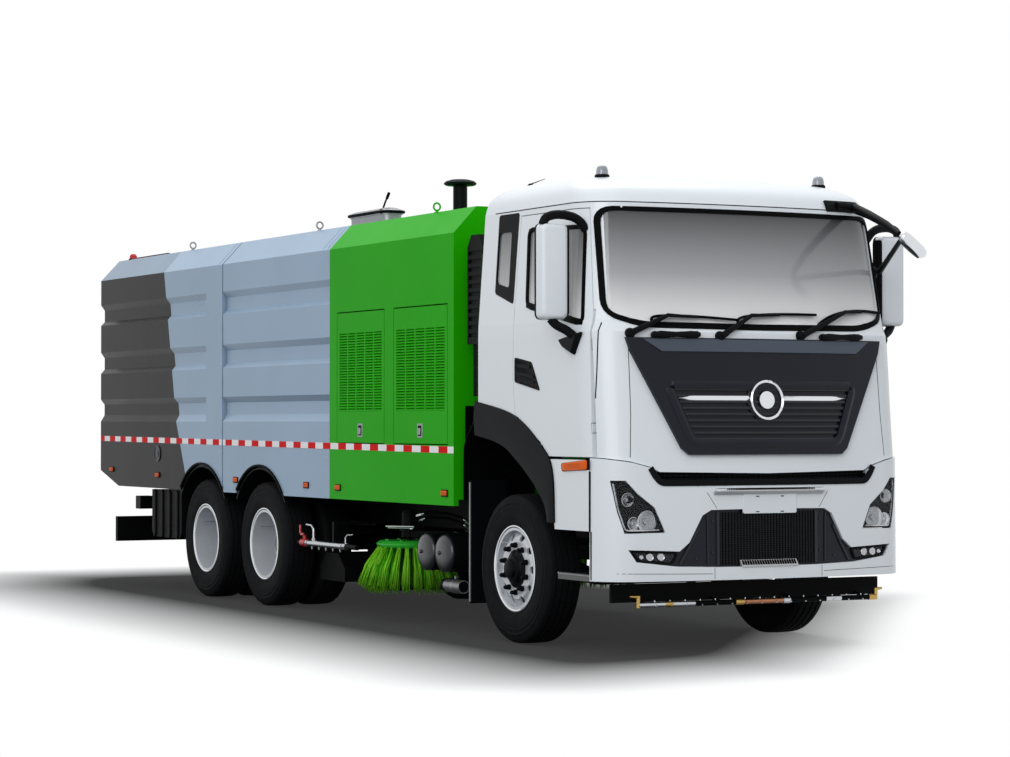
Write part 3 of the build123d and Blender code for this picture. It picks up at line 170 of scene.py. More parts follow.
def outlined(corners, radius, steps=5, between=14):
    """A rounded outline whose straight edges all have as many points."""
    points = rounded(corners, radius, steps=steps)
    each = steps + 1
    made = []
    for i in range(len(corners)):
        arc = points[i * each:(i + 1) * each]
        start, end = Vector(arc[-1]), Vector(points[(i + 1) * each % len(points)])
        made += arc + [tuple(start.lerp(end, k / between)) for k in range(1, between)]
    return made


def circle(centre, across, up, radius, count=24):
    """Points of a circle in the plane of two unit vectors."""
    turns = [math.tau * k / count for k in range(count)]
    return [centre + (across * math.cos(t) + up * math.sin(t)) * radius for t in turns]


def square_to(axis):
    """Two unit vectors square to an axis and to each other."""
    axis = axis.normalized()
    across = axis.orthogonal().normalized()
    return across, axis.cross(across)


# ---- meshes
class Shape:
    """A mesh in the making, in metres; a face takes the finish set when it is made."""

    def __init__(self):
        self.mesh = bmesh.new()
        self.finish = 0

    def face(self, corners):
        """One face, unless its corners already carry one."""
        if len(set(corners)) > 2 and not self.mesh.faces.get(corners):
            self.mesh.faces.new(corners).material_index = self.finish

    def loft(self, rings, closed=True, ends=True, wrap=False):
        """Skins rings with as many points each."""
        rows = [[self.mesh.verts.new(point) for point in ring] for ring in rings]
        count = len(rows[0])
        for low, high in zip(rows, rows[1:] + (rows[:1] if wrap else [])):
            for i in range(count if closed else count - 1):
                j = (i + 1) % count
                self.face((low[i], low[j], high[j], high[i]))
        if ends and not wrap:
            self.face(rows[0][::-1])
            self.face(rows[-1])

    def prism(self, outline, offset):
        """A closed outline carried along an offset."""
        self.loft([outline, [point + offset for point in outline]])

    def box(self, x, aft, z, side=1):
        """A box from its bounds in millimetres; X counts outwards where a side is given."""
        x = sorted((x[0] * side, x[1] * side))
        outline = [at(x[0], aft[0], z[0]), at(x[1], aft[0], z[0]), at(x[1], aft[1], z[0]),
            at(x[0], aft[1], z[0])]
        self.prism(outline, mm(0, 0, z[1] - z[0]))

    def turned(self, centre, axis, profile, count=32, wrap=False):
        """A turned form; the profile is (distance along the axis, radius) in millimetres."""
        across, up = square_to(axis)
        axis = axis.normalized()
        rings = [circle(centre + axis * (t * MM), across, up, max(r, 0.05) * MM, count)
            for t, r in profile]
        self.loft(rings, wrap=wrap)

    def hoop(self, centre, across, up, axis, radius, thick, steps, count):
        """A round bar bent into a ring, its radii in metres."""
        rays = circle(Vector(), across, up, 1, steps)
        self.loft([circle(centre + ray * radius, ray, axis, thick, count) for ray in rays],
            wrap=True)

    def tube(self, path, radius, count=10):
        """A round bar along a path; the radius in millimetres may change from point to point."""
        radii = radius if isinstance(radius, (list, tuple)) else [radius] * len(path)
        across = square_to(path[1] - path[0])[0]
        rings = []
        for i, point in enumerate(path):
            run = path[min(i + 1, len(path) - 1)] - path[max(i - 1, 0)]
            run.normalize()
            across = (across - run * across.dot(run)).normalized()
            rings.append(circle(point, across, run.cross(across), radii[i] * MM, count))
        self.loft(rings)

    def ribbon(self, seats, width, height, sink=2.0, closed=False, edge=0.35):
        """A strip with sloped edges along (point, normal) seats, in millimetres."""
        rings = []
        count = len(seats)
        for i, (point, normal) in enumerate(seats):
            after = seats[(i + 1) % count][0] if closed or i < count - 1 else point
            before = seats[i - 1][0] if closed or i else point
            across = normal.cross(after - before).normalized() * (width / 2 * MM)
            top = normal * (height * MM)
            low = normal * (sink * MM)
            rings.append([point - across - low, point - across + top * (1 - edge),
                point - across * (1 - edge) + top, point + across * (1 - edge) + top,
                point + across + top * (1 - edge), point + across - low])
        self.loft(rings, wrap=closed)

    def collar(self, outer, inner, heights, sink=3.0):
        """A flat frame between two rows of (point, normal) seats, at two heights."""
        high, low = heights
        rows = []
        for seats, height in ((outer, -sink), (outer, high), (inner, low), (inner, -sink)):
            rows.append([point + normal * (height * MM) for point, normal in seats])
        self.loft(rows, wrap=True)

    def arc(self, start, middle, end, radius, count=10, steps=12):
        """A round bar along a smooth bend through three points."""
        path = []
        for k in range(steps + 1):
            t = k / steps
            path.append(start * ((1 - t) * (1 - 2 * t)) + middle * (4 * t * (1 - t))
                + end * (t * (2 * t - 1)))
        self.tube(path, radius, count)


def placed(name, data):
    """A new object that carries some data, linked into the scene."""
    made = bpy.data.objects.new(name, data)
    bpy.context.scene.collection.objects.link(made)
    return made


def piece(name, shape, finishes, body="chassis", replaces=(), bevel=0.0, sharp=38):
    """Makes an object of the shape, with its finishes, on its body."""
    bmesh.ops.recalc_face_normals(shape.mesh, faces=shape.mesh.faces)
    mesh = bpy.data.meshes.new(name)
    shape.mesh.to_mesh(mesh)
    shape.mesh.free()
    for kind in finishes.split():
        mesh.materials.append(finish(kind))
    mesh.shade_smooth()
    mesh.set_sharp_from_angle(angle=math.radians(sharp))
    made = placed(name, mesh)
    if bevel:
        edge = made.modifiers.new("Edges", "BEVEL")
        edge.width = bevel * MM
        edge.segments = 2
        edge.limit_method = "ANGLE"
        edge.angle_limit = math.radians(40)
    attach(made, body)
    if replaces:
        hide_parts(*replaces)
    return made


# ---- finishes
def srgb(code):
    """Linear colour of an sRGB hex value."""
    parts = [int(code[i:i + 2], 16) / 255 for i in (0, 2, 4)]
    return tuple(c / 12.92 if c <= 0.04045 else ((c + 0.055) / 1.055) ** 2.4
        for c in parts) + (1.0,)


def add(tree, kind, settings=(), values=(), links=()):
    """Adds a node with its settings, input values and links."""
    node = tree.nodes.new("ShaderNode" + kind)
    for key, value in dict(settings).items():
        setattr(node, key, value)
    for key, value in dict(values).items():
        node.inputs[key].default_value = value
    for key, socket in dict(links).items():
        tree.links.new(socket, node.inputs[key])
    return node


def per_metre(size):
    """Texture scale whose features are this many millimetres apart."""
    return 1 / (size * MM)


def surfaced(name, colour, roughness, mottle, grain, metallic=0.0, ior=1.5, coat=0.0, specular=0.5,
        ripple=0.06, **sockets):
    """A finish with a broad mottle in its colour and gloss and a fine grain in its surface.

    mottle is its size in millimetres and depth; grain is its size and height in millimetres;
    ripple is how far the roughness departs either way.
    """
    made = bpy.data.materials.new(name)
    made.use_nodes = True
    tree = made.node_tree
    shader = tree.nodes["Principled BSDF"]
    for key, value in {"Metallic": metallic, "IOR": ior, "Coat Weight": coat,
            "Coat Roughness": 0.04, "Specular IOR Level": specular, **sockets}.items():
        shader.inputs[key.replace("_", " ")].default_value = value
    place = add(tree, "TexCoord").outputs["Object"]
    broad = add(tree, "TexNoise", values={"Scale": per_metre(mottle[0]), "Detail": 5.0,
        "Roughness": 0.6}, links={"Vector": place})
    base = srgb(colour)
    dark = tuple(c * (1 - mottle[1]) for c in base[:3]) + (1.0,)
    tint = add(tree, "Mix", {"data_type": "RGBA"}, {6: base, 7: dark}, {0: broad.outputs["Fac"]})
    tree.links.new(tint.outputs[2], shader.inputs["Base Color"])
    gloss = add(tree, "MapRange", values={"To Min": max(0.02, roughness - ripple),
        "To Max": min(1.0, roughness + ripple)}, links={"Value": broad.outputs["Fac"]})
    tree.links.new(gloss.outputs["Result"], shader.inputs["Roughness"])
    fine = add(tree, "TexNoise", values={"Scale": per_metre(grain[0]), "Detail": 3.0},
        links={"Vector": place})
    bump = add(tree, "Bump", values={"Strength": 1.0, "Distance": grain[1] * MM},
        links={"Height": fine.outputs["Fac"]})
    tree.links.new(bump.outputs["Normal"], shader.inputs["Normal"])
    return made


def blended(made, colour, mask_of):
    """Lays a second colour over a finish where a mask, built from object coordinates, is 1."""
    tree = made.node_tree
    shader = tree.nodes["Principled BSDF"]
    below = shader.inputs["Base Color"].links[0].from_socket
    place = next(node for node in tree.nodes if node.type == "TEX_COORD").outputs["Object"]
    split = add(tree, "SeparateXYZ", links={"Vector": place})
    over = add(tree, "Mix", {"data_type": "RGBA"}, {7: srgb(colour)},
        {0: mask_of(tree, *split.outputs), 6: below})
    tree.links.new(over.outputs[2], shader.inputs["Base Color"])


def math_node(tree, operation, first, second):
    """Socket of a sum on two values or sockets."""
    pairs = list(enumerate((first, second)))
    values = {i: v for i, v in pairs if isinstance(v, (int, float))}
    links = {i: v for i, v in pairs if not isinstance(v, (int, float))}
    return add(tree, "Math", {"operation": operation}, values, links).outputs[0]


def hex_of(value):
    """sRGB hex value of a colour property."""
    return "".join(f"{round(max(0.0, min(1.0, c)) * 255):02X}" for c in value)


# Edge of the tail's dark field on the bin's sides: aft, Z in millimetres, from the roof down.
TAIL_EDGE = ((6940, 2966), (6600, 1873), (6456, 1578), (6313, 954))
SLOPE_Z = 2.968             # the roof slope starts above this height, m
SLOPE_SHARE = 0.72          # part of the dark colour that the roof slope doesn't take


def tail_mask(tree, x, y, z):
    """1 behind the tail field's edge, which leans forward in three straight runs."""
    inside = None
    for (top_y, top_z), (low_y, low_z) in zip(TAIL_EDGE, TAIL_EDGE[1:]):
        lean = (top_y - low_y) / (top_z - low_z)
        # line y = low_y + lean * (z - low_z), in metres of the row frame
        along = math_node(tree, "MULTIPLY", z, lean)
        line = math_node(tree, "ADD", along, AXLE_Y + (low_y - lean * low_z) * MM)
        past = math_node(tree, "SUBTRACT", y, line)
        run = math_node(tree, "MULTIPLY", past, 400.0)
        inside = run if inside is None else math_node(tree, "MAXIMUM", inside, run)
    held = math_node(tree, "MAXIMUM", math_node(tree, "MINIMUM", inside, 1.0), 0.0)
    above = math_node(tree, "GREATER_THAN", z, SLOPE_Z)
    return math_node(tree, "MULTIPLY", held, math_node(tree, "SUBTRACT", 1.0,
        math_node(tree, "MULTIPLY", above, SLOPE_SHARE)))


def behind_corner_panel(tree, x, y, z):
    """1 inboard of the corner panel or below it."""
    inboard = math_node(tree, "LESS_THAN", math_node(tree, "ABSOLUTE", x, 0.0), 1.187)
    below = math_node(tree, "LESS_THAN", z, 0.836)
    return math_node(tree, "MAXIMUM", inboard, below)


def behind_bumper_skin(tree, x, y, z):
    """1 on what lies behind the bumper's skin."""
    between = math_node(tree, "LESS_THAN", math_node(tree, "ABSOLUTE", x, 0.0), 0.86)
    behind = math_node(tree, "GREATER_THAN", y, AXLE_Y - 1.405)
    return math_node(tree, "MULTIPLY", between, behind)


def painted_reflection_grade(made, top, low, z_low, z_top):
    """Paints a reflection into a glass's colour, light at its foot and darkening to its top."""
    tree = made.node_tree
    shader = tree.nodes["Principled BSDF"]
    place = next(node for node in tree.nodes if node.type == "TEX_COORD").outputs["Object"]
    height = add(tree, "SeparateXYZ", links={"Vector": place}).outputs["Z"]
    share = add(tree, "MapRange", values={"From Min": z_low * MM, "From Max": z_top * MM},
        links={"Value": height}).outputs["Result"]
    ramp = add(tree, "ValToRGB", links={"Fac": share})
    stops = ramp.color_ramp.elements
    # Painted reflection: near white at the glass's foot, a mid grey between, dark grey at its
    # head.
    middle = stops.new(0.45)
    stops[0].color = srgb(low)
    middle.color = srgb("A6A7AA")
    stops[-1].color = srgb(top)
    tree.links.new(ramp.outputs["Color"], shader.inputs["Base Color"])


# Each finish: its name, colour, roughness, mottle, grain, and what else departs from a plain one.
FINISHES = {
    # Two-pack enamel, sprayed and baked: deep gloss, a faint ripple, next to no grain.
    "paint_white": ("White baked enamel", "cab", 0.34, (1400, 0.03), (14, 0.015), dict(coat=0.25)),
    # Two-pack enamel over sheet steel: glossy, with the slow waves of welded sheet.
    "paint_green": ("Green sheet enamel", "housing", 0.3, (900, 0.22), (170, 0.5),
        dict(specular=0.04)),
    # Metallic enamel on pressed sheet: a satin sparkle over long shallow waves.
    "paint_silver": ("Silver-grey metallic enamel", "body", 0.26, (1100, 0.18), (260, 0.9),
        dict(metallic=0.12, specular=0.06)),
    # Black enamel, brushed on over castings: half gloss, road film in the hollows.
    "chassis_enamel": ("Black chassis enamel", "0D0E10", 0.5, (120, 0.35), (4, 0.12),
        dict(specular=0.05)),
    # Aluminium-filled enamel: pale, satin, with fine metal flake.
    "wheel_enamel": ("Aluminium wheel enamel", "CDD1D6", 0.34, (80, 0.14), (2, 0.02),
        dict(metallic=0.3, coat=0.2)),
    # Vulcanised rubber, moulded: near black, dull, greyed by dust in its pattern.
    "tyre_rubber": ("Vulcanised tyre rubber", "17181A", 0.7, (60, 0.35), (5, 0.25),
        dict(ripple=0.1, specular=0.06)),
    # Moulded polypropylene with a spark-eroded grain: black with a soft sheen.
    "dark_plastic": ("Grained polypropylene", "0C0E11", 0.45, (200, 0.2), (1.6, 0.06),
        dict(specular=0.06)),
    # Painted ABS, dark blue-grey: smooth and glossy.
    "gloss_plastic": ("Painted ABS panel", "grille", 0.26, (700, 0.1), (20, 0.01),
        dict(specular=0.2)),
    # The same ABS in a lighter shade on the bevel above the grille: a painted highlight where the
    # bevel catches the light.
    "band_plastic": ("Painted ABS band", "3A4656", 0.3, (700, 0.08), (20, 0.01),
        dict(coat=0.15, specular=0.4)),
    # Moulded ABS slats: black, with a worn sheen along each edge.
    "slat_plastic": ("Moulded ABS slat", "1E2126", 0.34, (300, 0.2), (3, 0.02),
        dict(specular=0.3)),
    # Extruded EPDM seal: black and matt.
    "soft_rubber": ("Extruded seal rubber", "050607", 0.55, (90, 0.2), (2, 0.05),
        dict(specular=0.04)),
    # Chrome plate over ABS: a mirror with the faintest haze.
    "bright_chrome": ("Chrome plate", "DCDFE3", 0.08, (50, 0.05), (8, 0.004),
        dict(metallic=1.0, ripple=0.03)),
    # Aluminised moulding behind a lens: bright, a little soft.
    "lamp_reflector": ("Aluminised reflector", "C9CDD2", 0.22, (18, 0.45), (9, 0.5),
        dict(metallic=0.9)),
    # Drawn stainless tube: bright, with hair lines.
    "stainless": ("Drawn stainless steel", "C3C7CB", 0.26, (40, 0.15), (1.5, 0.02),
        dict(metallic=1.0)),
    # Passivated zinc plate on small steel parts: grey, slightly mottled.
    "zinc_plate": ("Passivated zinc plate", "9A9DA0", 0.4, (30, 0.3), (2, 0.03),
        dict(metallic=0.8)),
    # Turned brass fittings: yellow, a little tarnished.
    "brass": ("Turned brass", "C6A560", 0.34, (20, 0.35), (2, 0.03), dict(metallic=1.0)),
    # Drawn copper tube: reddish, softly bright.
    "copper": ("Drawn copper", "B27A5C", 0.3, (30, 0.3), (2, 0.02), dict(metallic=1.0)),
    # Laminated windscreen: grey at its head, with a reflection painted light at its foot where it
    # would mirror the bright ground.
    "screen_glass": ("Filmed laminated glass", "3A3B3E", 0.12, (2500, 0.04), (400, 0.05),
        dict(coat=0.3, ripple=0.02, specular=0.4)),
    # Toughened side glass with the same painted reflection: a little warmer and lighter than the
    # windscreen.
    "side_glass": ("Filmed toughened glass", "605F5F", 0.12, (2500, 0.04), (400, 0.05),
        dict(coat=0.3, ripple=0.02, specular=0.4)),
    # Silvered glass: a clean mirror.
    "mirror_glass": ("Silvered mirror glass", "C9CED4", 0.03, (300, 0.02), (300, 0.01),
        dict(metallic=1.0, ripple=0.01)),
    # Clear polycarbonate, moulded and hard coated: nearly all of the lamp behind it shows.
    "clear_lens": ("Clear polycarbonate", "2C3238", 0.05, (100, 0.02), (30, 0.01),
        dict(ior=1.58, ripple=0.02, Alpha=0.14)),
    # Moulded amber acrylic over a reflector: a deep, even glow.
    "amber_lens": ("Amber acrylic", "FF6A00", 0.2, (24, 0.35), (6, 0.2),
        dict(ior=1.49, specular=0.12)),
    # Moulded red acrylic over a reflector: dark red, glossy.
    "red_lens": ("Red acrylic", "C8101C", 0.2, (24, 0.35), (6, 0.2),
        dict(ior=1.49, coat=0.15, specular=0.35)),
    # Clear moulded beacon dome, greyed by the works under it.
    "smoke_lens": ("Smoked acrylic dome", "A9B0B8", 0.1, (30, 0.3), (6, 0.05),
        dict(ior=1.49, coat=0.8, Transmission_Weight=0.3)),
    # Retroreflective film, red: flat colour with a fine cell pattern.
    "red_tape": ("Red reflective film", "E0040E", 0.45, (60, 0.12), (3, 0.04),
        dict(specular=0.05)),
    # Retroreflective film, white: flat and bright.
    "white_tape": ("White reflective film", "F1F2F3", 0.35, (60, 0.06), (3, 0.04), {}),
    # Pressed aluminium tread, worn bright on its teeth.
    "tread_metal": ("Pressed aluminium tread", "B9BBBD", 0.4, (30, 0.25), (3, 0.08),
        dict(metallic=0.6)),
    # Extruded polypropylene filament: yellow-green, a little waxy.
    "bristle_bright": ("Bright polypropylene bristle", "A2F23A", 0.45, (45, 0.25), (3, 0.02),
        dict(specular=0.1)),
    # The same filament, deep green in the tuft's shade.
    "bristle_deep": ("Deep polypropylene bristle", "4CD01C", 0.5, (45, 0.35), (3, 0.02),
        dict(specular=0.1)),
    # Moulded polypropylene plate: green, satin, scuffed.
    "brush_plastic": ("Moulded green polypropylene", "35C83A", 0.3, (70, 0.3), (5, 0.06),
        dict(coat=0.3)),
    # Grey enamel over spun steel ends: smooth, fairly glossy.
    "tank_enamel": ("Grey tank enamel", "23262B", 0.3, (90, 0.3), (12, 0.03),
        dict(coat=0.3, specular=0.4)),
    # Red enamel on a cast valve: bright, a little uneven.
    "red_enamel": ("Red valve enamel", "C8161E", 0.35, (30, 0.25), (4, 0.1), dict(coat=0.3)),
    # White enamel on the corner panel; the steps and brackets behind it are black.
    "step_paint": ("White enamel over black steps", "cab", 0.34, (1400, 0.03), (14, 0.015),
        dict(coat=0.4)),
    # White enamel on the bumper's face; its beam and brackets behind are black.
    "bumper_paint": ("White enamel over black beam", "cab", 0.32, (1400, 0.03), (14, 0.015),
        dict(coat=0.5)),
    # Woven polyester cloth: threads 1.2 mm apart, drawn at 4 mm so that they show.
    "seat_fabric": ("Woven seat cloth", "3A3D43", 0.85, (90, 0.2), (4, 0.5),
        dict(Sheen_Weight=0.4)),
    # Moulded polypropylene inside the cab: mid grey, matt.
    "trim_plastic": ("Grey trim polypropylene", "5A5D62", 0.6, (300, 0.1), (2, 0.08), {})}
# What is laid over a finish: a second colour by a mask, or a reflection painted as a grade from
# its foot to its top.
LAID_OVER = {"paint_silver": (blended, "08090B", tail_mask),
             "step_paint": (blended, "17181A", behind_corner_panel),
             "bumper_paint": (blended, "17181A", behind_bumper_skin),
             # The glass grades paint a reflection: dark at the head, near white at the foot.
             "screen_glass": (painted_reflection_grade, "3A3B3E", "FBFBFC", 2215, 3020),
             "side_glass": (painted_reflection_grade, "605F5F", "EDEBEA", 2230, 2960)}
MADE = {}


def finish(kind):
    """The finish of this name, made the first time it is asked for."""
    if kind not in MADE:
        name, colour, roughness, mottle, grain, more = FINISHES[kind]
        user = getattr(bpy.context.scene.sweeper_colours, colour, None)
        MADE[kind] = surfaced(name, hex_of(user) if user else colour, roughness, mottle, grain,
            **more)
        if kind in LAID_OVER:
            lay, *what = LAID_OVER[kind]
            lay(MADE[kind], *what)
    return MADE[kind]


# Which solids that stay take each finish, by the start of their names; the longest start holds.
SOLID_FINISHES = {
    "wheel_enamel": "rim", "tyre_rubber": "tyre", "screen_glass": "cab_glass",
    "side_glass": "door_glass", "trim_plastic": "cab_interior",
    "paint_white": "cab_ door_ hood mirror", "gloss_plastic": "grille_panel",
    "bumper_paint": "bumper", "step_paint": "entry_steps", "clear_lens": "headlamps",
    "amber_lens": "marker_lamps", "dark_plastic": "mudguards air_intake front_trim",
    "paint_green": "engine_", "paint_silver": "water_tank waste_bin rear_door",
    "stainless": "tip_rods", "zinc_plate": "roof_fittings hatch_lid", "bristle_bright": "brush",
    "chassis_enamel": "front_axle knuckle tie_rod rear_axles springs driveline chassis_frame tip_ "
                      "side_tanks underrun suction_nozzle spray_bars brush_arm"}
STARTS = {start: kind for kind, starts in SOLID_FINISHES.items() for start in starts.split()}


def dress_solids():
    """Gives every solid of the frame its finish."""
    for name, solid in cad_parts.items():
        start = max((start for start in STARTS if name.startswith(start)), key=len)
        solid.data.materials.clear()
        solid.data.materials.append(finish(STARTS[start]))


# ---- wheels
HUB_Z = 530                 # height of every wheel's centre, mm
FRONT_TRACK = 1045          # X of a front tyre's middle
TWINS = (1078, 743)         # X of a rear pair's outer and inner tyre
REAR_AXLES = (("2", 4480), ("3", 5820))
NUT_CIRCLE = 167.5
TYRE_EDGE = 118             # from a tyre's middle to its rim's edge
RIM_EDGE = [(0, 304), (6, 309), (11, 308), (12, 300), (7, 292), (0, 290)]


def spoke(turn):
    """A unit vector square to the axle, at a turn from astern."""
    return Vector((0, math.cos(turn), math.sin(turn)))


def tyre(shape, x, axle_aft, lugs):
    """One tyre: beads, ribbed sidewalls, a shoulder and a grooved tread, 1060 mm across."""
    steps = 96
    wall = [(112, 289), (121, 306), (127, 322), (134, 352), (139, 388), (140, 412), (139, 430),
        (141, 436), (137, 442), (136, 462), (138, 467), (134, 473), (131, 492), (125, 508)]
    grooves = (-74, -25, 25, 74)
    centre = at(x, axle_aft, HUB_Z)
    rings = []
    for k in range(steps):
        ray = spoke(math.tau * k / steps)
        zig = 3.5 if k % 2 else -3.5
        notch = 7 if lugs and k % 3 == 0 else 0
        ring = list(wall)
        ring += [(118, 519 - notch), (108, 525 - notch)]
        for middle in sorted(grooves, reverse=True):
            crown = 530 - (middle / 112) ** 2 * 4
            ring += [(middle + zig + 7, crown), (middle + zig + 4, crown - 12),
                (middle + zig - 4, crown - 12), (middle + zig - 7, crown)]
        ring += [(-108, 525 - notch), (-118, 519 - notch)]
        ring += [(-offset, radius) for offset, radius in reversed(wall)]
        rings.append([centre + mm(offset, 0, 0) + ray * (radius * MM) for offset, radius in ring])
    shape.loft(rings, wrap=True)


def nut(shape, centre, axis, radius, length):
    """A wheel nut with its long domed cap."""
    across, up = square_to(axis)
    base = circle(centre, across, up, radius * 1.25 * MM, 6)
    shape.loft([base, [point + axis * (0.4 * length * MM) for point in base]])
    shape.turned(centre, axis, [(0.3 * length, radius), (0.85 * length, radius * 0.92),
        (length, radius * 0.55)], 12)


def wheel_front(label, side):
    """A front wheel's tyre, black hub and its ten capped nuts."""
    body = f"wheel_front_{label}"
    rubber = Shape()
    tyre(rubber, side * FRONT_TRACK, 0, lugs=False)
    piece(f"tyre_front_{label}_dressed", rubber, "tyre_rubber", body, [f"tyre_front_{label}"],
        sharp=30)
    out = Vector((side, 0, 0))
    face = at(side * (FRONT_TRACK + 112), 0, HUB_Z)
    hub = Shape()
    hub.turned(face, out, [(-4, 138), (4, 136), (8, 112), (22, 98), (38, 92), (44, 74), (66, 66),
        (74, 52), (76, 0)], 40)
    for k in range(10):
        spot = face + spoke(math.tau * (k + 0.5) / 10) * (NUT_CIRCLE * MM)
        nut(hub, spot - out * (3 * MM), out, 17, 52)
    piece(f"hub_front_{label}", hub, "dark_plastic", body)
    bead = Shape()
    bead.turned(at(side * (FRONT_TRACK + TYRE_EDGE), 0, HUB_Z), out, RIM_EDGE, 72, wrap=True)
    valve = face + Vector((0, 0.15, 0.18))
    bead.tube([valve, valve + out * (30 * MM)], 5)
    piece(f"rim_edge_front_{label}", bead, "bright_chrome", body)


def wheel_twin(label, side, axle, aft):
    """A pair of rear tyres with the nuts and hub cap down in the dish."""
    body = f"wheels_{axle}_{label}"
    rubber = Shape()
    for x in TWINS:
        tyre(rubber, side * x, aft, lugs=True)
    piece(f"tyres_{axle}_{label}_dressed", rubber, "tyre_rubber", body, [f"tyres_{axle}_{label}"],
        sharp=30)
    out = Vector((side, 0, 0))
    face = at(side * 924.5, aft, HUB_Z)
    hub = Shape()
    for k in range(10):
        spot = face + spoke(math.tau * (k + 0.5) / 10) * (NUT_CIRCLE * MM)
        nut(hub, spot - out * (2 * MM), out, 16, 40)
    hub.turned(at(side * 1074, aft, HUB_Z), out, [(-30, 92), (0, 78), (8, 60), (10, 0)], 36)
    for k in range(8):
        spot = at(side * 1060, aft, HUB_Z) + spoke(math.tau * k / 8) * 0.083
        hub.turned(spot, out, [(-8, 7), (8, 7), (10, 4)], 6)
    piece(f"hub_{axle}_{label}", hub, "zinc_plate", body)
    bead = Shape()
    bead.turned(at(side * (TWINS[0] + TYRE_EDGE), aft, HUB_Z), out, RIM_EDGE, 72, wrap=True)
    valve = at(side * 1090, aft, HUB_Z) + Vector((0, 0.2, 0.14))
    bead.tube([valve - out * 0.1, valve + out * 0.06], 5)
    piece(f"rim_edge_{axle}_{label}", bead, "bright_chrome", body)


# ---- engine housing
ENGINE_DOORS = ((1, 910, 1822), (2, 1999, 2872))
DOOR_Z = (1408, 2441)
LOUVRE_Z = (1656, 2277)


def louvred_door(label, side, number, front, rear):
    """A top-hinged door with columns of pressed louvres and its latch."""
    sizes = bpy.context.scene.sweeper_sizes
    body = f"engine_door_{number}_{label}"

    def slab(shape, aft, z, deep=(0, 30)):
        """A box of the door between two depths in from its face."""
        shape.box((HALF - deep[1], HALF - deep[0]), aft, z, side)

    panel = Shape()
    field = (front + 33, rear - 33)
    column = (field[1] - field[0]) / sizes.louvre_columns
    slab(panel, (front, rear), (LOUVRE_Z[1], DOOR_Z[1]))
    slab(panel, (front, rear), (DOOR_Z[0], LOUVRE_Z[0]))
    slab(panel, (front, field[0] + 8), LOUVRE_Z)
    slab(panel, (field[1] - 8, rear), LOUVRE_Z)
    for k in range(1, sizes.louvre_columns):
        middle = field[0] + column * k
        slab(panel, (middle - 8, middle + 8), LOUVRE_Z)
    pitch = (LOUVRE_Z[1] - LOUVRE_Z[0]) / sizes.louvre_rows
    for k in range(sizes.louvre_rows):
        low = LOUVRE_Z[0] + pitch * k
        outline = [(1, 0.08), (1, 0.48), (16, 1.02), (16, 0.62)]
        points = [at(side * (HALF - deep), field[0], low + pitch * share)
            for deep, share in outline]
        panel.prism(points, mm(0, field[1] - field[0], 0))
    piece(f"{body}_louvred", panel, "paint_green", body, [body])
    backing = Shape()
    slab(backing, field, LOUVRE_Z, (19, 26))
    piece(f"{body}_backing", backing, "soft_rubber", body)
    latch = Shape()
    middle = (front + rear) / 2
    slab(latch, (middle - 44, middle + 44), (1452, 1560), (-3, 4))
    latch.finish = 1
    slab(latch, (middle - 30, middle + 30), (1466, 1545), (-4.5, 2))
    latch.finish = 0
    slab(latch, (middle - 20, middle + 20), (1476, 1526), (-9, 2))
    piece(f"{body}_latch", latch, "zinc_plate soft_rubber", body, bevel=2)


# ---- body trim
TAPE = ((803, 1340), (8520, 1388))      # lower edge: aft, Z at both ends
TAPE_WIDE = 50


def tape_z(aft):
    """Height of the tape's lower edge."""
    (start, low), (end, high) = TAPE
    return low + (high - low) * (aft - start) / (end - start)


def tape(name, body, start, end):
    """Reflective tape along both sides of one body section, in red and white lengths."""
    length = bpy.context.scene.sweeper_sizes.tape_length * 1000
    strip = Shape()
    for _, side in SIDES:
        x = (side * (HALF - 1), side * (HALF + 1.5))
        place = start
        while place < end - 20:
            stop = min(end, (math.floor(place / length + 1e-6) + 1) * length)
            strip.finish = int(place / length + 1e-6) % 2
            z0, z1 = tape_z(place), tape_z(stop)
            outline = [at(x[0], place, z0), at(x[0], stop, z1), at(x[0], stop, z1 + TAPE_WIDE),
                at(x[0], place, z0 + TAPE_WIDE)]
            strip.prism(outline, mm(x[1] - x[0], 0, 0))
            place = stop
    piece(name, strip, "red_tape white_tape", body)


MARKERS = ((947, 1045, "chassis"), (2850, 1047, "chassis"), (3482, 1053, "chassis"),
    (5009, 1068, "chassis"), (6930, 1078, "bin"), (8191, 1112, "bin"))


def marker_lamp(frames, lens, side, aft, z):
    """An amber side marker: a black frame and a domed, ribbed lens."""
    frames.box((HALF, HALF + 8), (aft - 52, aft + 52), (z - 27, z + 27), side)
    outline = oblong((aft - 43, aft + 43), (z - 19, z + 19), 9)
    lens.loft(drawn_rings(side, outline, (aft, z), ((4, 1.0), (12, 0.97), (17, 0.86),
        (18.5, 0.6))))
    for k in range(-3, 4):
        lens.box((HALF + 14, HALF + 18.5), (aft + k * 11 - 1.5, aft + k * 11 + 1.5),
            (z - 15, z + 15), side)


def drawn_rings(side, outline, middle, levels):
    """Rings of an (aft, Z) outline off the side: (depth, share of the size) for each."""
    return [[at(side * (HALF + deep), middle[0] + (a - middle[0]) * share,
        middle[1] + (z - middle[1]) * share) for a, z in outline] for deep, share in levels]


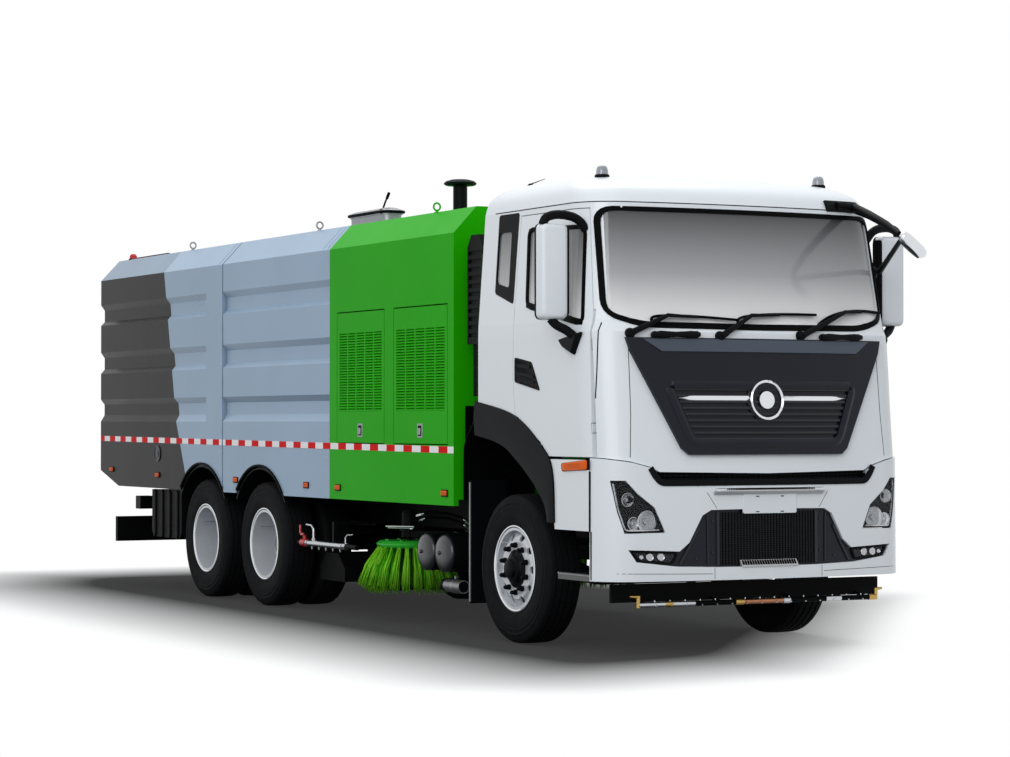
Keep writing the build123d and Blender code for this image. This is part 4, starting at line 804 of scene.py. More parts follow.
def side_markers():
    """All the amber lamps along the body, with the cab's indicators and the tail lamps."""
    for body in ("chassis", "bin"):
        frames, lens = Shape(), Shape()
        for aft, z, owner in MARKERS:
            if owner == body:
                for _, side in SIDES:
                    marker_lamp(frames, lens, side, aft, z)
        names = ["marker_lamps"] if body == "chassis" else []
        piece(f"marker_frames_{body}", frames, "dark_plastic", body, bevel=3)
        piece(f"marker_lenses_{body}", lens, "amber_lens", body, names)
    for label, side in SIDES:
        outline = rounded([(-1190, 1250), (-838, 1235), (-830, 1290), (-1190, 1318)], 22)
        middle = (-1010, 1274)
        lens, bezel = Shape(), Shape()
        lens.loft(drawn_rings(side, outline, middle, ((-2, 0.97), (9, 0.95), (14, 0.86),
            (15.5, 0.6))))
        for k in range(-5, 8):
            lens.box((HALF + 10, HALF + 15.5), (middle[0] + k * 20 - 2, middle[0] + k * 20 + 2),
                (1253, 1292), side)
        piece(f"indicator_{label}", lens, "amber_lens")
        bezel.loft(drawn_rings(side, outline, middle, ((-2, 1.04), (5, 1.03), (5, 0.97),
            (-2, 0.96))), wrap=True)
        bezel.box((HALF - 3, HALF + 6), (-1207, -1184), (1250, 1318), side)
        piece(f"indicator_bezel_{label}", bezel, "soft_rubber")
        tail = Shape()
        low, high = sorted((side * 880, side * 1180))
        width = (high - low) / 3
        for k in range(3):
            tail.finish = (0, 1, 1)[k if side > 0 else 2 - k]
            tail.box((low + width * k + 4, low + width * (k + 1) - 4), (8134, 8158), (474, 596))
        tail.finish = 2
        tail.box((low, high), (8132, 8150), (468, 602))
        piece(f"tail_lamps_{label}", tail, "amber_lens red_lens dark_plastic", bevel=3)


# ---- roof of the body
BIN_START = 5337            # aft of the joint between tank and bin


def roof_gear():
    """Filling neck, stack with its rain cap, and the lifting eyes."""
    neck = Shape()
    outline = oblong((-695, -505), (3174, 3874), 90, steps=8)
    centre = (-600, 3524)

    def ring(z, grow):
        """The neck's outline at a height, grown about its middle line."""
        return [at(x + grow * (1 if x > centre[0] else -1),
            a + grow * (1 if a > centre[1] else -1), z) for x, a in outline]

    neck.loft([ring(3150, 0), ring(3286, 0), ring(3286, 8), ring(3295, 8), ring(3295, -14),
        ring(3150, -14)], wrap=True)
    piece("filling_neck", neck, "zinc_plate", replaces=["roof_fittings"])
    hinge = Shape()
    hinge.box((-507, -487), (3499, 3549), (3236, 3292))
    hinge.turned(at(-483, 3452, 3306), AFT, [(0, 6), (144, 6)], 12)
    hinge.box((-491, -475), (3501, 3547), (3240, 3314))
    piece("lid_hinge_pin", hinge, "zinc_plate")
    stack = Shape()
    stack.turned(at(-600, 1974, 3160), UP, [(0, 74), (10, 74), (10, 56), (262, 56), (268, 62),
        (278, 62), (278, 40)], 36)
    stack.turned(at(-600, 1974, 3425), UP, [(0, 50), (4, 112), (12, 127), (24, 129), (38, 112),
        (50, 70), (54, 0)], 40)
    piece("breather_stack", stack, "dark_plastic")
    for aft, kind in ((1491, "paint_green"), (3680, "zinc_plate"), (6564, "zinc_plate")):
        body = "bin" if aft > BIN_START else "chassis"
        eyes = Shape()
        for _, side in SIDES:
            eyes.hoop(at(side * 1045, aft, 3212), Vector((1, 0, 0)), UP, AFT, 0.028, 0.0075, 24, 8)
            eyes.turned(at(side * 1045, aft, 3160), UP, [(0, 20), (12, 20), (14, 11), (26, 10)],
                16)
        piece(f"lifting_eyes_{aft}", eyes, kind, body)


def hatch():
    """The filling hatch's domed lid, rim seal and locking lever."""
    lid = Shape()
    half_x, half_y = 108, 370

    def ring(z, grow):
        """The lid's outline at a height."""
        points = oblong((-half_x - grow, half_x + grow), (-half_y - grow, half_y + grow), 92,
            steps=8)
        return [at(-600 + x, 3524 + a, z) for x, a in points]

    lid.loft([ring(3297, -4), ring(3303, 4), ring(3318, 4), ring(3324, -4), ring(3330, -18),
        ring(3340, -42), ring(3346, -70), ring(3348, -96)])
    piece("hatch_lid_dressed", lid, "zinc_plate", "hatch_lid", ["hatch_lid"])
    seal = Shape()
    seal.loft([ring(3297, 6), ring(3303, 9), ring(3314, 9), ring(3319, 5), ring(3319, -2),
        ring(3297, -2)], wrap=True)
    seal.box((-700, -688), (3210, 3250), (3290, 3330))
    piece("hatch_seal", seal, "soft_rubber", "hatch_lid")
    lever = Shape()
    foot = at(-600, 3390, 3344)
    lever.arc(foot, at(-600, 3345, 3400), at(-600, 3290, 3452), 8)
    lever.turned(at(-600, 3296, 3446), Vector((0, -0.7, 0.75)), [(-26, 12), (30, 13), (36, 8)], 16)
    lever.turned(foot, UP, [(-8, 20), (4, 20), (8, 12)], 16)
    piece("hatch_lever", lever, "soft_rubber", "hatch_lid")


# ---- cab roof
# height, half width, front centre and rear edge (aft)
ROOF = ((3064, 1190, -1198, 410), (3170, 1156, -1130, 384), (3246, 1066, -966, 262),
    (3286, 900, -700, 50), (3297, 700, -480, -30), (3300, 520, -390, -60))
BOW_R, CORNER_R = 6500, 300


def roof_ring(z, half, nose, rear):
    """The roof's outline in plan at a height: a bowed front with rounded corners."""
    corner_x = max(half - CORNER_R, 20)
    bow_y = nose + BOW_R
    corner_y = bow_y - math.sqrt((BOW_R - CORNER_R) ** 2 - corner_x ** 2)
    turn = math.atan2(bow_y - corner_y, corner_x)
    right = []
    for k in range(13):
        a = turn * k / 12
        right.append((corner_x + CORNER_R * math.cos(a), corner_y - CORNER_R * math.sin(a)))
    for k in range(1, 13):
        a = turn + (math.pi / 2 - turn) * k / 12
        right.append((BOW_R * math.cos(a), bow_y - BOW_R * math.sin(a)))
    side_x = right[0][0]
    back = [(side_x * k / 6, rear) for k in range(7)]
    flank = [(side_x, rear + (right[0][1] - rear) * k / 8) for k in range(1, 8)]
    half_ring = back + flank + right
    left = [(-x, y) for x, y in reversed(half_ring[1:-1])]
    return [at(x, y, z) for x, y in half_ring + left]


def cab_roof():
    """The cab's roof, pressed in one crowned skin, with its rain gutter line."""
    skin = Shape()
    levels = smoothed(ROOF, 7)
    skin.loft([roof_ring(*level) for level in levels])
    made = piece("cab_roof_skin", skin, "paint_white", replaces=["cab_roof"], sharp=60)
    TREES["cab_roof"] = BVHTree.FromPolygons([corner.co for corner in made.data.vertices],
        [face.vertices for face in made.data.polygons])
    seam = Shape()
    run = roof_ring(3066, 1190, -1198, 410)
    middle = at(0, -400, 3066)
    seam.ribbon([(point, (point - middle).normalized()) for point in run[7:-6]], 7, 1.2, sink=3)
    piece("roof_gutter_line", seam, "soft_rubber")


# ---- cab front
GRILLE = [(-735, 1815), (735, 1815), (572, 1435), (-572, 1435)]
EMBLEM_Z = 1718


def drawn_in(points, distance):
    """An outline with every corner moved towards the outline's middle."""
    middle = [sum(p[i] for p in points) / len(points) for i in (0, 1)]
    made = []
    for p in points:
        run = Vector((middle[0] - p[0], middle[1] - p[1]))
        made.append(tuple(Vector(p) + run.normalized() * distance))
    return made


def front_path(points, step=60, nodes=SKIN_FRONT, closed=False):
    """Seats on the cab's front along an outline of (X, Z) points."""
    run = spread(points + points[:1] if closed else points, step)
    return [on_front(x, z, nodes) for x, z in (run[:-1] if closed else run)]


def side_path(points, side, nodes, step=60, closed=False):
    """Seats on the truck's side along an outline of (aft, Z) points."""
    run = spread(points + points[:1] if closed else points, step)
    return [on_side(side, a, z, nodes) for a, z in (run[:-1] if closed else run)]


def window_seals():
    """Rubber seals round windscreen, door windows and rear quarter windows."""
    seal = Shape()
    outer = [(-1124, 3034), (1124, 3034), (1150, 2288), (905, 2206), (0, 2196), (-905, 2206),
        (-1150, 2288)]
    inner = [(-1090, 3004), (1090, 3004), (1116, 2312), (885, 2242), (0, 2234), (-885, 2242),
        (-1116, 2312)]
    skin = "cab_glass cab_body cab_roof"
    rims = [[on_front(x, z, skin) for x, z in outlined(corners, radius)]
        for corners, radius in ((outer, 110), (inner, 85))]
    seal.collar(*rims, (6, 15))
    piece("windscreen_seal", seal, "soft_rubber")
    window = [(-1085, 2225), (-1010, 2900), (-265, 2925), (-300, 2375)]
    for label, side in SIDES:
        glass = f"door_glass_{label}"
        seal = Shape()
        seal.ribbon(side_path(rounded(drawn_in(window, 8), 60), side, glass, closed=True), 30, 15,
            sink=4, closed=True)
        sill = [(-1075, 2243), (-318, 2388)]
        seal.ribbon(side_path(sill, side, glass), 40, 20, sink=4)
        piece(f"door_seal_{label}", seal, "soft_rubber", f"door_{label}")
        band = Shape()
        outer = [(186, 3050), (-116, 3050), (-106, 2402), (180, 2488)]
        inner = [(170, 2922), (-20, 2922), (-26, 2520), (166, 2560)]
        rims = [[on_side(side, a, z, "cab_glass cab_body") for a, z in outlined(corners, radius)]
            for corners, radius in ((outer, 26), (inner, 34))]
        band.collar(*rims, (3, 11))
        piece(f"quarter_window_band_{label}", band, "dark_plastic")


def grille_trim():
    """Band with a painted highlight, bevelled rim, bright bars and the plain round disc of the
    grille panel.
    """
    band = Shape()
    rows = []
    for k in range(-20, 21):
        top, normal = on_front(k * 46, 2131)
        low, _ = on_front(k * 39.5, 2046)
        rows.append([top + normal * 0.0015, low + normal * 0.012, low - normal * 0.002,
            top - normal * 0.004])
    band.loft(rows)
    # The band's finish is the grille's ABS painted lighter as a highlight.
    piece("grille_band", band, "band_plastic")
    rim = Shape()
    rim.ribbon(front_path(rounded(drawn_in(GRILLE, -26), 70), 60, "grille_panel hood",
        closed=True), 58, 15, sink=4, closed=True, edge=0.85)
    piece("grille_rim", rim, "gloss_plastic")
    slats = Shape()
    for k in range(9):
        z = 1456 + 42 * k
        half = 572 + (735 - 572) * (z - 1435) / 380 - 20
        seats = front_path([(-half, z), (half, z)], 80, "grille_panel hood")
        slats.ribbon(seats, 13, 5, sink=3, edge=0.8)
    piece("grille_slats", slats, "slat_plastic")
    bars = Shape()
    for hand in (-1, 1):
        rows = []
        for share in [k / 12 for k in range(13)]:
            point, normal = on_front(hand * (140 + 545 * share), 1732, "hood")
            point -= mm(0, 16, 0)
            tall = 0.023 * (1 - 0.75 * max(0.0, share * 6 - 5))
            lift = Vector((0, 0, tall))
            rows.append([point - lift, point + normal * 0.012 - lift * 0.6, point + normal * 0.018,
                point + normal * 0.012 + lift * 0.6, point + lift, point - normal * 0.012])
        bars.loft(rows)
    piece("grille_bright_bars", bars, "bright_chrome")
    point = on_front(0, EMBLEM_Z, "hood")[0]
    face = Vector((0, -0.996, 0.09)).normalized()
    disc = Shape()
    disc.turned(point, face, [(-10, 150), (20, 148), (27, 141), (22, 134), (20, 0)], 56)
    piece("grille_disc", disc, "gloss_plastic")
    ring = Shape()
    ring.turned(point + face * 0.034, face, [(0, 138), (8, 136), (14, 128), (10, 120), (2, 116),
        (-2, 126)], 64, wrap=True)
    ring.turned(point + face * 0.030, face, [(0, 62), (6, 60), (10, 50), (11, 0)], 48)
    piece("grille_ring", ring, "bright_chrome")


def tread(shape, half, z, depth, high, proud):
    """A toothed tread strip across the bumper: finish 0 is the metal, 1 the dark of its holes."""
    seats = []
    for x, in spread([(-half,), (half,)], 60):
        point, _ = on_front(x, z - 12, "bumper grille_panel")
        seats.append((Vector((point.x, point.y - proud * MM, z * MM)), Vector((0, -0.8, 0.6))))
    shape.finish = 0
    shape.ribbon(seats, high, depth, sink=proud + 8, edge=0.3)
    shape.finish = 1
    count = int(half / 14)
    for k in range(-count, count + 1):
        x = k * 13.5
        point, _ = on_front(x, z - 12, "bumper grille_panel")
        y = (point.y - AXLE_Y) / MM - proud - depth
        shape.box((x - 4.2, x + 4.2), (y - 2.2, y + 6), (z - high * 0.12, z + high * 0.42))


def bumper_trim():
    """Treads, blank plate, seams, slot, posts, and the mouth's mesh, cheeks and fog lamps."""
    treads = Shape()
    tread(treads, 440, 1112, 5, 30, 26)
    treads.finish = 0
    steps = [on_front(x, 612, MOUTH)[0] for x in range(-228, 229, 38)]
    treads.loft([[point + mm(0, deep, lift) for deep, lift in ((-4, -14), (-34, -22), (-34, -14),
        (-4, 26), (2, 26))] for point in steps])
    treads.finish = 1
    for x in range(-212, 213, 20):
        point, _ = on_front(x, 612, MOUTH)
        treads.prism([point + mm(across, deep, lift) for across, deep, lift in ((-6, -30, -9),
            (6, -30, -9), (6, -9, 19), (-6, -9, 19))], mm(0, -4, 3))
    piece("bumper_treads", treads, "tread_metal soft_rubber")
    plate = Shape()
    y = (on_front(0, 1040, "bumper")[0].y - AXLE_Y) / MM - 5
    outer = oblong((-217, 217), (950, 1082), 14)
    plate.prism([at(x, y, z) for x, z in outer], mm(0, 12, 0))
    plate.finish = 1
    for x in (-100, 100):
        for z in (962, 1066):
            plate.box((x - 14, x + 14), (y - 1, y + 5), (z - 4, z + 4))
    piece("blank_plate", plate, "paint_white soft_rubber", bevel=2)
    seams = Shape()
    for hand in (-1, 1):
        runs = [[(490, 1096), (415, 987)], [(435, 588), (435, 512)], [(452, 548), (1130, 560)],
            [(560, 1136), (560, 1160)]]
        for run in runs:
            seams.ribbon(front_path(mirrored(hand, run), 40, "bumper"), 3.5, 0.7, sink=1)
        run = mirrored(hand, [(1012, 2060), (1014, 1900), (1018, 1628), (1036, 1335)])
        seams.ribbon(front_path(run, 60, "hood cab_body"), 5, 0.8, sink=1)
    piece("front_seams", seams, "soft_rubber")
    lip = Shape()
    run = [(-905, 1255), (-874, 1200), (-830, 1152), (-700, 1152), (700, 1152), (830, 1152),
        (874, 1200), (905, 1255)]
    lip.ribbon([(point + mm(0, -1, 10), Vector((0, -1, 0.12)).normalized())
        for point, _ in front_path(rounded(run, 40, closed=False), 60, "bumper hood")], 42, 4,
        sink=8)
    piece("slot_lip", lip, "dark_plastic")
    posts = Shape()
    for hand in (-1, 1):
        posts.box((1150, 1240), (-1214, -1196), (512, 836), hand)
        posts.box((1236, 1249), (-1204, -1196), (836, 1240), hand)
    piece("bumper_posts", posts, "dark_plastic", bevel=2)
    floor = Shape()
    rows = []
    for x in range(-890, 891, 89):
        point, _ = on_front(x, 1140, "bumper")
        rows.append([point + mm(0, deep, z - 1140) for deep, z in ((70, 1130), (70, 1300),
            (74, 1300), (74, 1130))])
    floor.loft(rows)
    floor.finish = 1
    for z in (1188, 1210, 1232):
        bars = [(point + Vector((0, 0.045, (z - 1140) * MM)), Vector((0, -1, 0)))
            for point, _ in [on_front(x, 1140, "bumper") for x in range(-820, 821, 82)]]
        floor.ribbon(bars, 7, 3)
    for x in range(-820, 821, 41):
        point, _ = on_front(x, 1140, "bumper")
        y = (point.y - AXLE_Y) / MM
        floor.box((x - 2, x + 2), (y + 44, y + 50), (1172, 1250))
    piece("slot_mesh", floor, "soft_rubber dark_plastic")
    mesh = Shape()
    for z in range(608, 965, 15):
        mesh.ribbon(front_path([(-384, z), (384, z)], 96, MOUTH), 5, 7, sink=2)
    for x in range(-384, 385, 24):
        mesh.ribbon(front_path([(x, 604), (x, 964)], 180, MOUTH), 4, 5, sink=2)
    piece("mouth_mesh", mesh, "soft_rubber")
    cheeks = Shape()
    for hand in (-1, 1):
        for run, wide, high in (([(398, 962), (398, 606)], 22, 14),
                ([(482, 950), (478, 900), (476, 612)], 12, 10),
                ([(546, 862), (630, 710), (686, 618)], 20, 13)):
            cheeks.ribbon(front_path(mirrored(hand, run), 40, MOUTH), wide, high, sink=2)
        for x, z in ((436, 905), (436, 690), (560, 650)):
            point, normal = on_front(hand * x, z, MOUTH)
            cheeks.turned(point, normal, [(-2, 11), (5, 11), (8, 7)], 6)
    piece("mouth_cheeks", cheeks, "slat_plastic")
    for label, side in SIDES:
        rim, bowl, glass = Shape(), Shape(), Shape()
        outline = mirrored(side, [(1036, 706), (706, 692), (742, 622), (980, 642)])
        rim.ribbon(front_path(rounded(outline, 22), 40, MOUTH, closed=True), 16, 15, sink=3,
            closed=True)
        piece(f"fog_lamp_frame_{label}", rim, "dark_plastic")
        for x, radius in ((905, 27), (825, 27), (965, 16)):
            point, normal = on_front(side * x, 668, MOUTH)
            bowl.turned(point + normal * 0.001, normal, [(8, radius), (10, radius - 2),
                (3, radius * 0.6), (1, radius * 0.3), (4, 0)], 28)
        piece(f"fog_lamp_bowls_{label}", bowl, "bright_chrome")
        rows = []
        for x in range(734, 1003, 24):
            share = (x - 734) / (1002 - 734)
            top, normal = on_front(side * x, 692 + 8 * share, MOUTH)
            low, _ = on_front(side * x, 628 + 10 * share, MOUTH)
            rows.append([top + normal * 0.011, low + normal * 0.011, low + normal * 0.0095,
                top + normal * 0.0095])
        glass.loft(rows)
        piece(f"fog_lamp_lens_{label}", glass, "clear_lens")


HEADLAMP = [(1163, 1179), (1077, 1180), (1000, 1093), (876, 997), (800, 830), (1086, 826),
    (1128, 971)]


def headlamp(label, side):
    """A headlamp: a dark bucket, a projector, reflector cups, a light strip and a clear cover."""
    outline = rounded(drawn_in(mirrored(side, HEADLAMP), 5), 26, steps=3)
    middle = (side * 1000, 990)

    def ring(share, deep):
        """The outline drawn towards its middle and set back."""
        made = []
        for x, z in outline:
            point, _ = on_front(x, z, "headlamps")
            place = Vector((point.x + (middle[0] * MM - point.x) * (1 - share), point.y,
                point.z + (middle[1] * MM - point.z) * (1 - share)))
            made.append(place + mm(0, deep, 0))
        return made

    bucket = Shape()
    bucket.loft([ring(1, 1), ring(1, 44), ring(0.95, 44), ring(0.9, 34), ring(0.93, 6),
        ring(0.97, 1)], ends=False, wrap=True)
    back = ring(0.94, 33)
    bucket.loft([back, [p + mm(0, 8, 0) for p in back]])
    piece(f"headlamp_bucket_{label}", bucket, "dark_plastic",
        replaces=["headlamps"])
    cups = Shape()
    for x, z, radius, deep in ((925, 905, 66, 30), (1022, 893, 40, 26), (1052, 1052, 42, 40)):
        point, _ = on_front(side * x, z, "headlamps")
        cups.turned(point + mm(0, deep, 0), Vector((0, -1, 0)), [(0, radius * 0.6), (12, radius),
            (16, radius), (13, radius * 0.88), (2, radius * 0.55), (1, radius * 0.36),
            (10, radius * 0.3), (16, 0)], 36)
        cups.turned(point + mm(0, deep - 14, 0), Vector((0, -1, 0)),
            [(0, radius * 1.12), (3, radius * 1.12), (3, radius * 1.02), (0, radius * 1.02)], 36,
            wrap=True)
    piece(f"headlamp_cups_{label}", cups, "lamp_reflector")
    fins = Shape()
    for z in (1008, 1085, 1120):
        point, _ = on_front(side * 1078, z, "headlamps")
        fins.prism([point + Vector((side * across * MM, 0.02, lift * MM))
            for across, lift in ((-52, -3), (40, -3), (40, 3), (-52, 3))], mm(0, 12, 0))
    piece(f"headlamp_fins_{label}", fins, "dark_plastic", bevel=1)
    strip = Shape()
    run = mirrored(side, [(1140, 1160), (1112, 972), (1072, 846), (840, 848)])
    seats = [(point + mm(0, 16, 0), normal) for point, normal in front_path(rounded(run, 20,
        closed=False), 30, "headlamps")]
    strip.ribbon(seats, 15, 8, sink=3)
    piece(f"headlamp_strip_{label}", strip, "lamp_reflector")
    cover = Shape()
    cover.loft([ring(1, 0), ring(1, 3)])
    piece(f"headlamp_cover_{label}", cover, "clear_lens")


WIPERS = (((-997, 2167), (-177, 2263), 0.35, 20), ((-330, 2153), (489, 2310), 0.32, -18),
    ((327, 2164), (1088, 2338), 0.54, -5))


def wipers():
    """Three wipers: a boss, a bent arm and a blade with its rubber."""
    arms, blades = Shape(), Shape()
    for pivot, tip, share, rise in WIPERS:
        base, face = on_front(*pivot)
        knee_at = (pivot[0] + (tip[0] - pivot[0]) * share, tip[1] + rise)
        knee, knee_face = on_front(*knee_at)
        end, end_face = on_front(*tip)
        arms.turned(base - face * 0.004, face, [(0, 36), (18, 35), (34, 30), (44, 24), (48, 12)],
            20)
        path = [base + face * 0.032, base.lerp(knee, 0.45) + face * 0.046, knee + knee_face * 0.05,
            knee.lerp(end, 0.42) + end_face * 0.044]
        arms.tube(path, [22, 19, 14, 8], 10)
        arms.tube([base + face * 0.02 + mm(30, 0, -12), base + face * 0.022 + mm(62, -4, 12)],
            [4, 5], 8)
        first = (pivot[0] + (tip[0] - pivot[0]) * 0.22, pivot[1] + 70)
        start, start_face = on_front(*first, "cab_glass cab_body")
        for height, radius in ((0.030, 10), (0.015, 6)):
            blades.arc(start + start_face * height, knee + knee_face * height + mm(0, 0, 2),
                end + end_face * height, radius, 6, 16)
    piece("wiper_arms", arms, "dark_plastic")
    piece("wiper_blades", blades, "soft_rubber")


def grab_handles():
    """Two black handles under the windscreen."""
    bars = Shape()
    for start, end in ((-849, -501), (488, 846)):
        seats = [on_front(start + (end - start) * k / 6, 2156 + 3 * k / 6) for k in range(7)]
        bars.tube([point + normal * 0.04 for point, normal in seats], [16, 25, 21, 18, 21, 25, 16],
            14)
        for point, normal in (seats[0], seats[-1]):
            across = mm(30, 0, 0) * (1 if point is seats[0][0] else -1)
            bars.tube([point - normal * 0.003 + across, point + normal * 0.036 + across * 0.6],
                [27, 24], 14)
    piece("grab_handles", bars, "dark_plastic")


def look_down_mirror():
    """The mirror ahead of the windscreen: its plate, long arm, strut and bright head."""
    arm = Shape()
    seats = [on_front(x, 3094, "cab_roof") for x in range(700, 1011, 31)]
    arm.ribbon(seats, 84, 19, sink=4, edge=0.3)
    for point, normal in (seats[4], seats[6]):
        arm.turned(point, normal, [(17, 9), (21, 9), (23, 5)], 6)
    head_low, head_high = at(1040, -1850, 2715), at(840, -1850, 2860)
    root = seats[7][0]
    arm.tube([seats[3][0] + mm(0, -12, 0), root + mm(30, -30, -4),
        root.lerp(head_high, 0.35) + mm(30, 0, 12), root.lerp(head_high, 0.7) + mm(10, 0, 12),
        head_high + mm(10, 30, 0)], [34, 36, 31, 27, 20], 14)
    pillar, face = on_front(1140, 2640, "cab_body cab_glass")
    arm.tube([pillar - face * 0.01, pillar + face * 0.05, head_high + mm(30, 30, -30)],
        [30, 20, 17], 12)
    arm.turned(pillar, face, [(-3, 42), (14, 42), (22, 32)], 20)
    piece("look_down_arm", arm, "dark_plastic", replaces=["front_trim"])
    axis = (head_low - head_high).normalized()
    head = Shape()
    head.turned(head_high, axis, [(0, 12), (6, 26), (20, 37), (60, 44), (190, 44), (228, 36),
        (242, 22), (246, 0)], 32)
    piece("look_down_head", head, "bright_chrome")
    face_plate = Shape()
    middle = head_high.lerp(head_low, 0.5)
    out = Vector((-0.55, 0.2, -0.8)).normalized()
    rings = []
    for deep, grow in ((36, 1.0), (45, 0.96), (46.5, 0.86)):
        across = axis.cross(out).normalized()
        rings.append([middle + out * (deep * MM) + axis * (math.cos(t) * 0.098 * grow)
            + across * (math.sin(t) * 0.03 * grow) for t in [math.tau * k / 28
            for k in range(28)]])
    face_plate.loft(rings)
    piece("look_down_glass", face_plate, "gloss_plastic")


def smoothed_run(points):
    """Points in space on a smooth curve through the given ones."""
    return [Vector(point) for point in smoothed([tuple(point) for point in points], 5)]


def side_mirror(label, side):
    """A tall side mirror: white shell, black back frame, glass, arms and door bracket."""
    body = f"door_{label}"
    outline = oblong((1291, 1499), (2262, 2913), 46)

    def ring(aft, grow):
        """The mirror's outline at a depth, drawn in or out."""
        return [at(side * (1395 + (x - 1395) * (1 + grow / 104)), aft,
            2587 + (z - 2587) * (1 + grow / 325)) for x, z in outline]

    shell = Shape()
    shell.loft([ring(-1008, -34), ring(-1004, -16), ring(-992, -6), ring(-974, -1), ring(-940, 0),
        ring(-916, 0)])
    piece(f"mirror_shell_{label}", shell, "paint_white", body, [f"mirror_{label}"], sharp=50)
    back = Shape()
    back.loft([ring(-920, 1), ring(-898, 1), ring(-891, -5), ring(-891, -14), ring(-897, -16),
        ring(-920, -16)], wrap=True)
    back.box((1300, 1490), (-918, -902), (2470, 2482), side)
    inner = oblong((-1000, -900), (2290, 2885), 30)
    back.prism(at_side(side * 1287, inner), mm(side * 12, 0, 0))
    piece(f"mirror_frame_{label}", back, "dark_plastic", body)
    glass = Shape()
    glass.loft([ring(-915, -15), ring(-902, -15), ring(-900, -17)])
    piece(f"mirror_glass_{label}", glass, "mirror_glass", body)
    arm = Shape()
    top, face = on_side(side, -1000, 2876, f"door_{label} door_glass_{label}")
    points = [at(side * 1470, -958, 2900), at(side * 1446, -966, 2950),
        at(side * 1370, -980, 2972), at(side * 1270, -994, 2962), at(side * 1205, -1000, 2930),
        top - face * 0.004]
    arm.tube(smoothed_run(points), 31, 12)
    points = [at(side * 1408, -955, 2268), at(side * 1372, -972, 2226),
        at(side * 1310, -1000, 2190), at(side * 1262, -1020, 2150)]
    arm.tube(smoothed_run(points), 31, 12)
    corners = [(-806, 2134), (-1112, 2180), (-1016, 2022), (-870, 2078)]
    base = at_side(side * 1247, rounded(corners, 18))
    crest = [at(side * 1288, -985 + (a + 985) * 0.8, 2112 + (z - 2112) * 0.8)
        for a, z in rounded(corners, 18)]
    arm.loft([base, [p + mm(side * 12, 0, 0) for p in base], crest])
    piece(f"mirror_arms_{label}", arm, "dark_plastic", body)


def door_furniture(label, side):
    """Door pull, corner seam, arch flare, splash panel and pillar vent of one side."""
    body = f"door_{label}"
    corners = [(-152, 2026), (-399, 1989), (-522, 1787), (-152, 1852)]
    plate = Shape()
    plate.loft(drawn_rings(side, rounded(corners, 22), (-320, 1915),
        ((-4, 1), (5, 1), (6.5, 0.9), (2, 0.87))))
    for a0, a1, z0, z1 in ((-380, -190, 1948, 1972), (-440, -330, 1880, 1902),
            (-330, -180, 1896, 1916), (-440, -200, 1846, 1858)):
        outline = [(a0, z0 - 6), (a1, z0 + 8), (a1, z1 + 8), (a0, z1 - 6)]
        plate.prism(at_side(side * 1248, rounded(outline, 9)), mm(side * 11, 0, 0))
    piece(f"door_pull_{label}", plate, "dark_plastic", body)
    seam = Shape()
    run = [(-1203, 2240), (-1212, 1900), (-1213, 1340)]
    seam.ribbon(side_path(run, side, f"cab_body hood {body}"), 9, 1.2, sink=3)
    piece(f"corner_seam_{label}", seam, "soft_rubber")
    flare = Shape()
    outer = smoothed([(446, 1722), (-140, 1622), (-528, 1424), (-702, 1250), (-736, 884)], 8)
    inner = smoothed([(446, 1478), (-4, 1396), (-378, 1190), (-590, 1015), (-640, 884)], 8)
    rows = [[at(side * x, a, z) for a, z in run] for run, x in ((outer, 1240), (outer, 1263),
        (smoothed([(446, 1600), (-70, 1510), (-452, 1306), (-646, 1132), (-688, 884)], 8), 1270),
        (inner, 1263), (inner, 1240))]
    flare.loft(list(zip(*rows)))
    piece(f"arch_flare_{label}", flare, "dark_plastic", sharp=50)
    splash = Shape()
    splash.box((620, 1196), (716, 724), (1000, 1690), side)
    lip = [at(side * x, a, z) for x, a, z in ((1196, 470, 1690), (1200, 560, 1580),
        (1204, 690, 1430), (1204, 716, 1300), (1204, 716, 1000))]
    splash.tube(smoothed_run(lip), 9, 8)
    skin = smoothed_run(at_side(side * 1200, ((452, 1640), (560, 1560), (690, 1420), (718, 1290))))
    splash.loft([[p, p + mm(side * -580, 0, 0), p + mm(side * -580, 6, 6), p + mm(0, 6, 6)]
        for p in skin])
    piece(f"splash_panel_{label}", splash, "soft_rubber")
    vent = Shape()
    vent.ribbon(side_path([(-1075, 2900), (-1100, 2764)], side, f"cab_body {body}"), 16, 5)
    piece(f"pillar_vent_{label}", vent, "soft_rubber")


def cab_roof_gear():
    """The two beacons and the folded aerial on the cab's roof."""
    for label, side in SIDES:
        point, _ = on_top(side * 900, -773, "cab_roof")
        base, dome = Shape(), Shape()
        base.turned(point - UP * 0.012, UP, [(0, 52), (22, 52), (28, 47), (28, 0)], 28)
        dome.turned(point + UP * 0.014, UP, [(0, 44), (30, 42), (48, 37), (60, 28), (66, 15),
            (68, 0)], 32)
        dome.turned(point + UP * 0.014, UP, [(0, 20), (46, 18), (52, 0)], 16)
        piece(f"beacon_base_{label}", base, "dark_plastic")
        piece(f"beacon_dome_{label}", dome, "smoke_lens")
    aerial = Shape()
    point, _ = on_top(-960, 150, "cab_roof")
    aerial.turned(point - mm(0, 0, 6), UP, [(0, 26), (10, 24), (22, 12)], 16)
    aerial.tube([point + mm(0, 0, 12), point + Vector((0.01, -0.2, 0.035))], [5, 2], 8)
    piece("aerial", aerial, "soft_rubber")


def entry_step(label, side):
    """Toothed treads on a cab's entry step."""
    shape = Shape()
    shape.box((1178, 1234), (-1186, -744), (536, 547), side)
    shape.finish = 1
    for k in range(16):
        start = -1176 + k * 27
        shape.box((1186, 1235.5), (start, start + 13), (539, 548.5), side)
    piece(f"step_tread_{label}", shape, "tread_metal soft_rubber")


